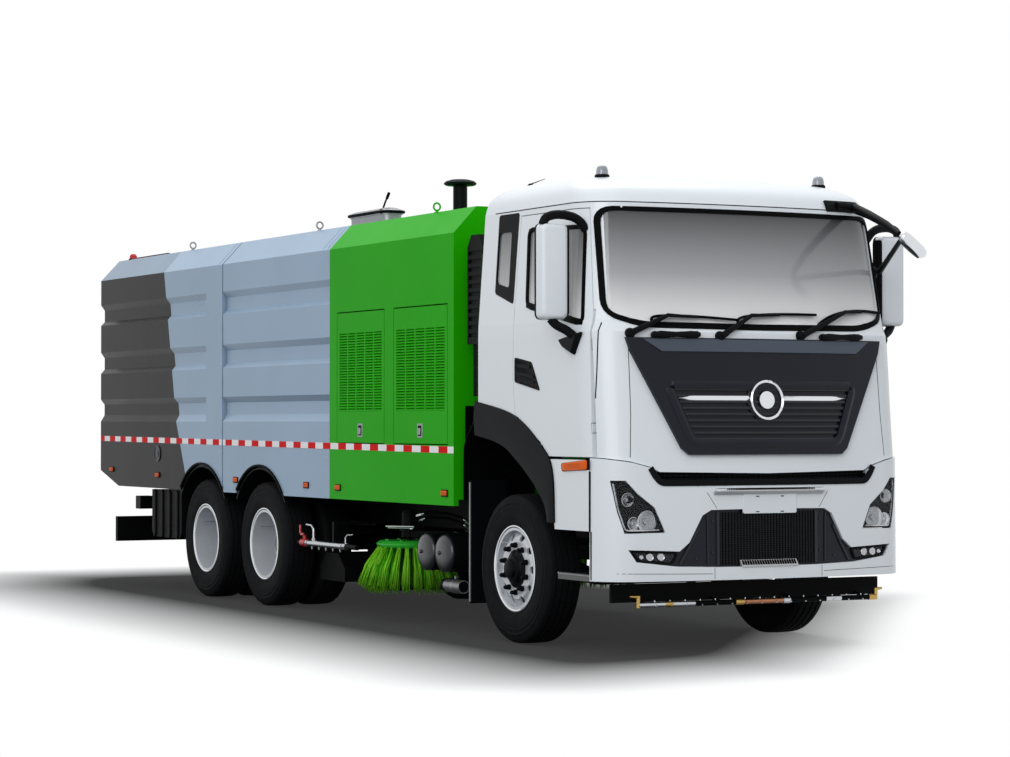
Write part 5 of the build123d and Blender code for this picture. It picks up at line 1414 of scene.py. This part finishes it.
# ---- sweeping gear
def brush_set(label, side):
    """A side brush: a bevelled green plate with tufts of stiff filament round it."""
    draws = random.Random(11 if side < 0 else 12)
    body = f"brush_{label}"
    centre = at(side * 840, 2390, 0)
    plate = Shape()
    plate.turned(centre, UP, [(577, 30), (577, 236), (582, 248), (604, 262), (612, 262),
        (633, 238), (635, 226), (635, 30)], 56, wrap=True)
    for k in range(8):
        turn = math.tau * k / 8
        spot = centre + Vector((math.cos(turn), math.sin(turn), 0)) * 0.19
        plate.turned(spot, UP, [(633, 12), (641, 12), (642, 7)], 6)
    piece(f"brush_plate_{label}", plate, "brush_plastic", body, [f"brush_{label}"])
    tufts = 24
    each = bpy.context.scene.sweeper_sizes.bristles // tufts
    hair = Shape()
    for k in range(tufts):
        middle = math.tau * k / tufts
        for _ in range(each):
            hair.finish = 0 if draws.random() < 0.68 else 1
            spread_turn = draws.uniform(-1, 1)
            root_turn = middle + spread_turn * 0.05
            tip_turn = middle + spread_turn * 0.08 + draws.uniform(-0.02, 0.02)
            root_r, tip_r = draws.uniform(200, 246), draws.uniform(310, 412)
            tip_z = 216 + (tip_r - 310) * 0.75 + draws.uniform(-4, 22)
            root = Vector((math.cos(root_turn) * root_r, math.sin(root_turn) * root_r, 590)) * MM
            tip = Vector((math.cos(tip_turn) * tip_r, math.sin(tip_turn) * tip_r, tip_z)) * MM
            bend = root.lerp(tip, 0.55) + Vector((math.cos(middle), math.sin(middle), 0.8)) * 0.018
            hair.tube([centre + root, centre + bend, centre + tip], [4.0, 3.4, 1.7], 3)
    piece(f"brush_bristles_{label}", hair, "bristle_bright bristle_deep", body, sharp=180)


def brush_gear(label, side):
    """Motor, hoses and couplings that ride on a brush's arm."""
    body = f"brush_arm_{label}"
    motor = Shape()
    centre = at(side * 840, 2390, 0)
    motor.turned(centre, UP, [(712, 74), (724, 74), (726, 60), (850, 60), (856, 52), (872, 50)],
        28)
    motor.box((780, 900), (2330, 2450), (716, 728), side)
    piece(f"brush_motor_{label}", motor, "dark_plastic", body)
    hose, metal = Shape(), Shape()
    for k, z in enumerate((830, 790)):
        start = at(side * (800 - 20 * k), 2340, z)
        route = [start, at(side * 740, 2240, z + 30), at(side * 660, 2080, z + 24),
            at(side * 610, 1930, z - 6), at(side * 585, 1830, z - 50)]
        hose.tube(route, 10, 10)
        for near, far in ((0, 1), (4, 3)):
            run = (route[far] - route[near]).normalized()
            metal.tube([route[near] - run * 0.01, route[near] + run * 0.05], 14, 6)
            metal.tube([route[near] + run * 0.05, route[near] + run * 0.075], 12, 12)
    piece(f"brush_hoses_{label}", hose, "soft_rubber", body)
    metal.tube([at(side * 870, 2260, 735), at(side * 1010, 2420, 735)], 7)
    metal.tube([at(side * 880, 2230, 748), at(side * 1040, 2400, 748)], 9)
    metal.tube([at(side * 838, 2330, 722), at(side * 884, 2268, 738)], 12, 6)
    piece(f"brush_couplings_{label}", metal, "stainless", body)


def spray_gear():
    """Hoses, brass and copper on the front spray bar, and the side pipes with their valves."""
    kinds = "stainless brass soft_rubber copper"
    bar = Shape()
    y, z = -1370, 346
    runs = [(-968, -759, 18, 0), (-759, -703, 21, 1), (-703, -620, 20, 0), (-620, -527, 18.5, 0),
        (-527, -202, 18.5, 2), (-202, -137, 22, 1), (-137, 188, 18.5, 3), (188, 243, 22, 0),
        (243, 541, 18.5, 2), (541, 667, 21, 0), (667, 905, 18.5, 2), (905, 968, 21, 1)]
    for start, end, radius, kind in runs:
        bar.finish = kind
        bar.tube([at(start, y, z), at(end, y, z)], radius, 14)
    for x, kind in ((-968, 1), (968, 1)):
        bar.finish = kind
        bar.tube([at(x, y, z - 18), at(x, y, z + 62)], 13, 12)
        bar.tube([at(x, y, z + 54), at(x * 1.06, y + 10, z + 58)], [13, 8], 10)
    bar.finish = 0
    for x in range(-840, 841, 120):
        bar.tube([at(x, y - 6, z), at(x, y - 30, z - 10)], [8, 5], 8)
        bar.tube([at(x, y, z + 10), at(x, y, z + 28)], [5, 5], 6)
    piece("front_spray_fittings", bar, kinds)
    for label, side in SIDES:
        pipe = Shape()
        x, z = side * 1150, 568
        for start, stop, radius, count in ((2990, 3650, 26, 16), (2900, 2960, 28, 8),
                (2965, 2985, 30, 16), (3655, 3690, 30, 8)):
            pipe.tube([at(x, start, z), at(x, stop, z)], radius, count)
        pipe.tube([at(x, 3560, 590), at(x, 3560, 640), at(x, 3562, 690), at(x, 3600, 716),
            at(x, 3700, 720)], 11, 10)
        pipe.tube([at(x, 3560, 585), at(x, 3560, 612)], 16, 6)
        for k in range(5):
            pipe.tube([at(x, 3040 + 140 * k, 552), at(x - side * 4, 3040 + 140 * k, 520)], [9, 6],
                8)
        pipe.tube([at(x, 2930, 590), at(x, 2930, 640), at(x, 2890, 664), at(x, 2780, 668)], 6, 8)
        piece(f"side_spray_pipe_{label}", pipe, "stainless")
        end = Shape()
        end.tube([at(x, 2850, z), at(x, 2900, z)], 22, 6)
        piece(f"side_spray_end_{label}", end, "brass")
        valve = Shape()
        valve.tube([at(x, 3700, z), at(x, 3790, z)], 34, 12)
        valve.tube([at(x, 3745, 590), at(x, 3745, 632)], 15, 10)
        valve.box((1160, 1172), (3728, 3812), (628, 650), side)
        valve.box((1160, 1172), (3786, 3812), (628, 716), side)
        piece(f"side_spray_valve_{label}", valve, "red_enamel", bevel=3)


# ---- beside the frame
def frame_gear():
    """Domed reservoir ends, exhaust tail, tank straps, flap edge and tail-lamp boxes."""
    out = Vector((-1, 0, 0))
    ends = Shape()
    for aft in (1489, 1181):
        ends.turned(at(-1128, aft, 588), out, [(-6, 143), (6, 142), (18, 134), (30, 112), (38, 76),
            (41, 30), (41, 0)], 44)
        ends.turned(at(-1128, aft, 588), out, [(-260, 144), (-250, 146), (-240, 144)], 44)
        ends.turned(at(-1166, aft + 20, 590), out, [(0, 16), (10, 14), (18, 9)], 12)
    piece("reservoir_ends", ends, "tank_enamel")
    pipe = Shape()
    tail = at(-1000, 1150, 335)
    pipe.turned(tail, AFT, [(-26, 44), (-26, 49), (10, 51), (90, 51), (96, 56), (118, 56),
        (124, 50), (230, 50), (230, 46), (-20, 43)], 36, wrap=True)
    pipe.box((-1008, -992), (1246, 1266), (386, 412))
    piece("exhaust_tail", pipe, "zinc_plate")
    for label, side in SIDES:
        straps = Shape()
        for start in (6470, 6662, 6854, 7046):
            straps.box((1200, 1233), (start + 14, start + 32), (500, 944), side)
        piece(f"tank_straps_{label}", straps, "dark_plastic", bevel=3)
        edge = Shape()
        edge.box((1186, 1194), (646, 664), (260, 1130), side)
        piece(f"flap_edge_{label}", edge, "zinc_plate")
        lamps = Shape()
        lamps.box((1060, 1190), (7560, 7690), (742, 866), side)
        lamps.box((430, 1070), (7600, 7640), (790, 820), side)
        lamps.finish = 1
        lamps.box((1066, 1184), (7688, 7702), (750, 858), side)
        piece(f"tail_box_{label}", lamps, "dark_plastic red_lens", bevel=4)


def arch_lips():
    """Rubber lips round the rear wheel arches."""
    for (_, aft), body in zip(REAR_AXLES, ("chassis", "bin")):
        lips = Shape()
        for _, side in SIDES:
            angles = [math.radians(a) for a in range(42, 139, 6)]
            centre = at(side * 1246, aft, HUB_Z)
            lips.ribbon([(centre + spoke(a) * 0.672, -spoke(a)) for a in angles], 40, 12, sink=8)
        piece(f"arch_lips_{aft}", lips, "soft_rubber", body)


def body_seams():
    """Weld seams, the round blank on the bin's side, and the lamps and bars on its roof."""
    for body, node, places in (("chassis", "water_tank", (3090, 3180)),
            ("bin", "waste_bin", (5420,))):
        beads = Shape()
        for _, side in SIDES:
            for place in places:
                run = [on_side(side, place, 2940, node)]
                for share in (0.08, 0.5, 0.94):
                    point = at(side * (1250 - 189 * share), place, 2966 + 202 * share)
                    run.append((point, Vector((side * 0.73, 0, 0.68))))
                beads.ribbon(run, 7, 3, sink=2)
        piece(f"weld_seams_{body}", beads, "paint_silver", body)
    ring = Shape()
    for _, side in SIDES:
        out = Vector((side, 0, 0))
        ring.turned(at(side * 1250, 6930, 1278), out, [(-2, 78), (6, 77), (9, 70), (5, 62),
            (4, 40), (7, 34), (7, 0)], 44)
    piece("round_blank", ring, "gloss_plastic", "bin")
    lamp, foot = Shape(), Shape()
    for _, side in SIDES:
        centre = at(side * 1020, 8233, 3166)
        foot.turned(centre, UP, [(-6, 46), (8, 46), (12, 40), (12, 0)], 24)
        lamp.turned(centre, UP, [(8, 38), (34, 37), (52, 28), (60, 14), (62, 0)], 28)
        foot.box((1010, 1040), (7250, 8090), (3164, 3182), side)
    piece("tail_roof_lamp", lamp, "red_lens", "bin")
    piece("tail_roof_bar", foot, "dark_plastic", "bin", bevel=3)


def tail_door_gear():
    """Ribs, handle, hinges and latches of the tail door."""
    ribs = Shape()
    for x in (-780, -260, 260, 780):
        ribs.box((x - 45, x + 45), (8518, 8546), (1330, 3030))
    for z in (1400, 2180, 2960):
        ribs.box((-1080, 1080), (8518, 8536), (z - 40, z + 40))
    piece("tail_door_ribs", ribs, "paint_silver", "rear_door", bevel=8)
    gear = Shape()
    for x in (-900, 900):
        gear.box((x - 22, x + 22), (8518, 8560), (1290, 1380))
        gear.tube([at(x - 40, 8552, 1335), at(x + 40, 8552, 1335)], 14, 12)
    gear.tube([at(-160, 8536, 1560), at(-160, 8566, 1560), at(160, 8566, 1560),
        at(160, 8536, 1560)], 12, 12)
    piece("tail_door_latches", gear, "zinc_plate", "rear_door", bevel=2)


# ---- cab inside
def pad(name, centre, size, crown, tilt=0.0):
    """A seat pad: a crowned closed form whose sides pull in between its corners."""
    shape = Shape()
    half = [value / 2 for value in size]
    turn = Matrix.Rotation(math.radians(tilt), 3, "X")
    origin = at(*centre)
    outline = oblong((-half[0], half[0]), (-half[1], half[1]), min(half[:2]) * 0.35, steps=6)
    rings = []
    for level in range(-6, 7):
        t = level / 6
        grow = math.sqrt(max(0.0, 1 - abs(t) ** 3.2)) * 0.16 + 0.84
        rings.append([origin + turn @ (Vector((x * grow * (1
            - 0.03 * math.cos(math.pi * z / half[1] / 2)), z * grow, t * half[2])) * MM)
            for x, z in outline])
    for share in (0.8, 0.55, 0.3, 0.08):
        lift = half[2] + crown * (1 - share ** 2)
        rings.append([origin + turn @ (Vector((x * 0.84 * share, z * 0.84 * share, lift)) * MM)
            for x, z in outline])
    shape.loft(rings)
    made = piece(name, shape, "seat_fabric", sharp=60)
    smooth = made.modifiers.new("Soft", "SUBSURF")
    smooth.levels = smooth.render_levels = 1
    return made


def cab_inside():
    """Seats, dashboard and steering wheel."""
    for label, side in SIDES:
        x = side * 620
        pad(f"seat_cushion_{label}", (x, -200, 1745), (500, 480, 90), 26)
        pad(f"seat_back_{label}", (x, 45, 2120), (480, 560, 80), 22, tilt=82)
        pad(f"head_rest_{label}", (x, 80, 2485), (270, 150, 70), 14, tilt=82)
        base = Shape()
        base.box((x - 180, x + 180), (-380, 0), (1480, 1690))
        base.box((x - 230, x + 230), (-430, 40), (1684, 1706))
        base.tube([at(x - 60, 70, 2380), at(x - 60, 78, 2450)], 7)
        base.tube([at(x + 60, 70, 2380), at(x + 60, 78, 2450)], 7)
        piece(f"seat_base_{label}", base, "trim_plastic", bevel=6)
    dash = Shape()
    outline = rounded([(-1005, 1905), (-1005, 2120), (-960, 2148), (-860, 2140), (-805, 2060),
        (-830, 1905)], 30)
    dash.prism([at(-1110, a, z) for a, z in outline], Vector((2.22, 0, 0)))
    dash.box((-1100, 1100), (-998, -944), (1482, 1915))
    dash.box((470, 770), (-835, -800), (2070, 2190))
    for x in (-700, -300, 200, 900):
        dash.box((x - 70, x + 70), (-826, -806), (1990, 2040))
    piece("dashboard", dash, "trim_plastic", replaces=["cab_interior"], bevel=5)
    wheel = Shape()
    centre, axis = at(620, -640, 2160), Vector((0, 170, 80)).normalized()
    across, up = square_to(axis)
    wheel.hoop(centre, across, up, axis, 0.22, 0.015, 40, 10)
    wheel.turned(centre, axis, [(-24, 70), (6, 76), (14, 60), (16, 0)], 28)
    for turn in (0.4, math.pi - 0.4, math.pi * 1.5):
        arm = across * math.cos(turn) + up * math.sin(turn)
        wheel.tube([centre + arm * 0.05, centre + arm * 0.215], [16, 11], 8)
    wheel.tube([centre, centre - axis * 0.2], [30, 34], 14)
    piece("steering_wheel", wheel, "soft_rubber")


# ---- stage
CAMERA = Vector((-10.196, -20.1795, 1.565))
VIEW = Vector((0.46854823, 0.88328445, 0.01646632))
# Lines round the shadow painted on the floor under the truck: slope across and along, reach in
# metres.
PAINTED_SHADOW_LINES = ((-1.0, 0.0, 2.15), (1.37, -1.17, 5.5), (-0.9, 0.5, 4.4), (0.5, 0.8, 6.0),
    (-0.7, -0.7, 5.3), (0.2, -1.1, 5.7), (0.8, 0.0, 2.6), (0.0, 1.0, 6.3))


def shown_rays(tree):
    """1 for the rays that show the floor and the sky: camera, glossy and transmission rays."""
    path = add(tree, "LightPath")
    seen = math_node(tree, "MAXIMUM", path.outputs["Is Camera Ray"], path.outputs["Is Glossy Ray"])
    return math_node(tree, "MAXIMUM", seen, path.outputs["Is Transmission Ray"])


def stage_floor():
    """A wide floor, white away from the truck, with a shadow painted dark under the truck that
    fades to white beyond eight lines round it.
    """
    ground = bmesh.new()
    bmesh.ops.create_grid(ground, x_segments=2, y_segments=2, size=120)
    mesh = bpy.data.meshes.new("studio_floor")
    ground.to_mesh(mesh)
    ground.free()
    floor = placed("studio_floor", mesh)
    made = bpy.data.materials.new("Pale matt floor")
    made.use_nodes = True
    tree = made.node_tree
    tree.nodes.clear()
    seen = shown_rays(tree)
    place = add(tree, "TexCoord").outputs["Object"]
    reach = None
    for across, along, start in PAINTED_SHADOW_LINES:
        past = add(tree, "VectorMath", {"operation": "DOT_PRODUCT"}, {1: (across, along, 0)},
            {0: place}).outputs["Value"]
        past = math_node(tree, "SUBTRACT", past, start)
        reach = past if reach is None else math_node(tree, "SMOOTH_MAX", reach, past)
    # Painted shadow: the colour that camera, glossy and transmission rays see runs from dark grey
    # under the truck to white past the lines.
    painted_shadow_tone = add(tree, "MapRange", values={"From Min": -0.6, "From Max": 1.5, "To Min": 0.06,
        "To Max": 1.0}, links={"Value": reach}).outputs[0]
    # The same painted shadow, darker still, in the colour that light bouncing off the floor takes.
    painted_shadow_bounce = add(tree, "MapRange", values={"From Min": -0.6, "From Max": 2.0, "To Min": 0.06,
        "To Max": 0.26}, links={"Value": reach}).outputs[0]
    far = add(tree, "MapRange", {"interpolation_type": "SMOOTHSTEP"},
        {"From Min": 0.7, "From Max": 1.9}, {"Value": reach}).outputs[0]
    # The shown floor is half lit and half glowing in the painted shadow's colour.
    grey = add(tree, "BsdfDiffuse", links={"Color": math_node(tree, "MULTIPLY", painted_shadow_tone, 0.55)})
    own = add(tree, "Emission", links={"Color": math_node(tree, "MULTIPLY", painted_shadow_tone, 0.5)})
    shown = add(tree, "AddShader", links={0: grey.outputs[0], 1: own.outputs[0]})
    lit = add(tree, "BsdfDiffuse", links={"Color": painted_shadow_bounce})
    glow = add(tree, "Emission", values={"Color": (1, 1, 1, 1), "Strength": 1.0})
    both = add(tree, "MixShader", links={0: far, 1: shown.outputs[0], 2: glow.outputs[0]})
    mix = add(tree, "MixShader", links={0: seen, 1: lit.outputs[0], 2: both.outputs[0]})
    end = add(tree, "OutputMaterial", links={"Surface": mix.outputs[0]})
    end.is_active_output = True
    mesh.materials.append(made)


def stage_world():
    """An even sky, dimmer low down; camera, glossy and transmission rays see plain white."""
    world = bpy.data.worlds.new("Studio sky")
    bpy.context.scene.world = world
    world.use_nodes = True
    tree = world.node_tree
    tree.nodes.clear()
    seen = shown_rays(tree)
    place = add(tree, "TexCoord").outputs["Generated"]
    height = add(tree, "SeparateXYZ", links={"Vector": place}).outputs["Z"]
    share = add(tree, "MapRange", values={"From Min": -0.05, "From Max": 0.75, "To Min": 0.34,
        "To Max": 1.0}, links={"Value": height}).outputs[0]
    sky = add(tree, "Background", values={"Color": (0.96, 0.98, 1.0, 1)},
        links={"Strength": share})
    white = add(tree, "Background", values={"Color": (1, 1, 1, 1), "Strength": 1.0})
    mix = add(tree, "MixShader", links={0: seen, 1: sky.outputs[0], 2: white.outputs[0]})
    add(tree, "OutputWorld", links={"Surface": mix.outputs[0]})


def lamp(name, place, target, size, power):
    """A soft square lamp aimed at a point."""
    data = bpy.data.lights.new(name, "AREA")
    data.shape = "SQUARE"
    data.size = size
    data.energy = power
    made = placed(name, data)
    made.location = place
    made.rotation_euler = (Vector(target) - Vector(place)).to_track_quat("-Z", "Y").to_euler()


def stage_camera():
    """The camera, almost level, at eye height ahead of the truck's right corner."""
    data = bpy.data.cameras.new("Camera")
    data.lens = 96.0
    data.sensor_width = 36.0
    data.clip_end = 500
    made = placed("Camera", data)
    forward = VIEW.normalized()
    right = forward.cross(UP).normalized()
    up = right.cross(forward)
    turn = Matrix((right, up, -forward)).transposed()
    made.matrix_world = Matrix.Translation(CAMERA) @ turn.to_4x4()
    bpy.context.scene.camera = made


# ---- user settings
class SweeperColours(bpy.types.PropertyGroup):
    """Paint colours, as they look on a screen."""
    cab: FloatVectorProperty(name="Cab", description="Enamel of cab and bumper",
        subtype="COLOR_GAMMA", size=3, min=0, max=1, default=(0.90, 0.92, 0.94))
    housing: FloatVectorProperty(name="Housing", description="Enamel of the engine housing",
        subtype="COLOR_GAMMA", size=3, min=0, max=1, default=(0.14, 0.71, 0.0))
    body: FloatVectorProperty(name="Tank and bin",
        description="Enamel of water tank and waste bin", subtype="COLOR_GAMMA", size=3, min=0,
        max=1, default=(0.64, 0.73, 0.82))
    grille: FloatVectorProperty(name="Grille panel", description="Paint of the grille panel",
        subtype="COLOR_GAMMA", size=3, min=0, max=1, default=(0.075, 0.09, 0.13))


class SweeperSizes(bpy.types.PropertyGroup):
    """Counts and sizes of the fine parts."""
    louvre_columns: IntProperty(name="Louvre columns", description="Columns of louvres in a door",
        default=5, min=1, max=12)
    louvre_rows: IntProperty(name="Louvre rows", description="Louvres in each column", default=29,
        min=4, max=60)
    tape_length: FloatProperty(name="Tape length", description="Length of one colour of the tape",
        default=0.15, min=0.05, max=1.0, unit="LENGTH")
    bristles: IntProperty(name="Bristles", description="Bristles in a brush", default=1900,
        min=100, max=5000)


# ---- operators
class SWEEPER_OT_stage(bpy.types.Operator):
    """Set up floor, sky, lamps and camera"""
    bl_idname = "sweeper.stage"
    bl_label = "Stage"

    def execute(self, context):
        context.scene.view_settings.view_transform = "Standard"
        stage_floor()
        stage_world()
        lamp("Key", (-15.5, -17.0, 9.0), (0, -1.5, 1.6), 12.0, 1480.0)
        lamp("Top", (1.5, 3.0, 15.0), (0, 0, 0), 11.0, 700.0)
        stage_camera()
        return {"FINISHED"}


class SWEEPER_OT_solids(bpy.types.Operator):
    """Give the solids of the frame their finishes"""
    bl_idname = "sweeper.solids"
    bl_label = "Finishes of the solids"

    def execute(self, context):
        dress_solids()
        return {"FINISHED"}


class SWEEPER_OT_wheels(bpy.types.Operator):
    """Make tyres, hubs, nuts and rim edges"""
    bl_idname = "sweeper.wheels"
    bl_label = "Wheels"

    def execute(self, context):
        for label, side in SIDES:
            wheel_front(label, side)
            for axle, aft in REAR_AXLES:
                wheel_twin(label, side, axle, aft)
        return {"FINISHED"}


class SWEEPER_OT_engine_doors(bpy.types.Operator):
    """Make the louvred doors of the engine housing"""
    bl_idname = "sweeper.engine_doors"
    bl_label = "Engine doors"

    def execute(self, context):
        for label, side in SIDES:
            for number, front, rear in ENGINE_DOORS:
                louvred_door(label, side, number, front, rear)
        return {"FINISHED"}


class SWEEPER_OT_body_trim(bpy.types.Operator):
    """Make the reflective tape and the lamps along the body"""
    bl_idname = "sweeper.body_trim"
    bl_label = "Body trim"

    def execute(self, context):
        tape("tape_housing", "chassis", 803, 5310)
        tape("tape_bin", "bin", 5340, 8515)
        side_markers()
        return {"FINISHED"}


class SWEEPER_OT_roof_gear(bpy.types.Operator):
    """Make the filling hatch, the stack and the lifting eyes"""
    bl_idname = "sweeper.roof_gear"
    bl_label = "Roof gear"

    def execute(self, context):
        roof_gear()
        hatch()
        return {"FINISHED"}


class SWEEPER_OT_cab_front(bpy.types.Operator):
    """Make seals, grille, bumper trim, lamps, wipers, handles and roof skin of the cab"""
    bl_idname = "sweeper.cab_front"
    bl_label = "Cab front"

    def execute(self, context):
        window_seals()
        grille_trim()
        bumper_trim()
        for label, side in SIDES:
            headlamp(label, side)
        wipers()
        grab_handles()
        cab_roof()
        cab_roof_gear()
        return {"FINISHED"}


class SWEEPER_OT_cab_sides(bpy.types.Operator):
    """Make mirrors, door pulls, arch flares and step treads"""
    bl_idname = "sweeper.cab_sides"
    bl_label = "Cab sides"

    def execute(self, context):
        look_down_mirror()
        for label, side in SIDES:
            side_mirror(label, side)
            door_furniture(label, side)
            entry_step(label, side)
        return {"FINISHED"}


class SWEEPER_OT_cab_inside(bpy.types.Operator):
    """Make seats, dashboard and steering wheel"""
    bl_idname = "sweeper.cab_inside"
    bl_label = "Cab inside"

    def execute(self, context):
        cab_inside()
        return {"FINISHED"}


class SWEEPER_OT_sweeping_gear(bpy.types.Operator):
    """Make brushes, hoses, spray pipes and valves"""
    bl_idname = "sweeper.sweeping_gear"
    bl_label = "Sweeping gear"

    def execute(self, context):
        for label, side in SIDES:
            brush_set(label, side)
            brush_gear(label, side)
        spray_gear()
        return {"FINISHED"}


class SWEEPER_OT_frame_gear(bpy.types.Operator):
    """Make what hangs beside the frame, the arch lips and the body's seams"""
    bl_idname = "sweeper.frame_gear"
    bl_label = "Frame and body gear"

    def execute(self, context):
        frame_gear()
        arch_lips()
        body_seams()
        tail_door_gear()
        return {"FINISHED"}


STEPS = (SWEEPER_OT_stage, SWEEPER_OT_solids, SWEEPER_OT_wheels, SWEEPER_OT_engine_doors,
    SWEEPER_OT_body_trim, SWEEPER_OT_roof_gear, SWEEPER_OT_cab_front, SWEEPER_OT_cab_sides,
    SWEEPER_OT_cab_inside, SWEEPER_OT_sweeping_gear, SWEEPER_OT_frame_gear)


class SWEEPER_PT_panel(bpy.types.Panel):
    """Lists the parts of the truck and their settings"""
    bl_idname = "SWEEPER_PT_panel"
    bl_label = "Street sweeper truck"
    bl_space_type = "VIEW_3D"
    bl_region_type = "UI"
    bl_category = "Sweeper"

    def draw(self, context):
        """Draws the settings, then a button for each step."""
        for group in (context.scene.sweeper_colours, context.scene.sweeper_sizes):
            for key in group.__annotations__:
                self.layout.prop(group, key)
        for step in STEPS:
            self.layout.operator(step.bl_idname)


CLASSES = (SweeperColours, SweeperSizes, *STEPS, SWEEPER_PT_panel)


def register():
    """Makes the settings, the operators and the panel known."""
    for kind in CLASSES:
        bpy.utils.register_class(kind)
    bpy.types.Scene.sweeper_colours = PointerProperty(type=SweeperColours)
    bpy.types.Scene.sweeper_sizes = PointerProperty(type=SweeperSizes)


def unregister():
    """Takes them back."""
    del bpy.types.Scene.sweeper_sizes
    del bpy.types.Scene.sweeper_colours
    for kind in reversed(CLASSES):
        bpy.utils.unregister_class(kind)


def main():
    """Makes the whole truck."""
    register()
    for step in STEPS:
        group, name = step.bl_idname.split(".")
        if getattr(getattr(bpy.ops, group), name)() != {"FINISHED"}:
            raise RuntimeError(f"{step.bl_idname} did not finish")


if __name__ == "__main__":
    main()
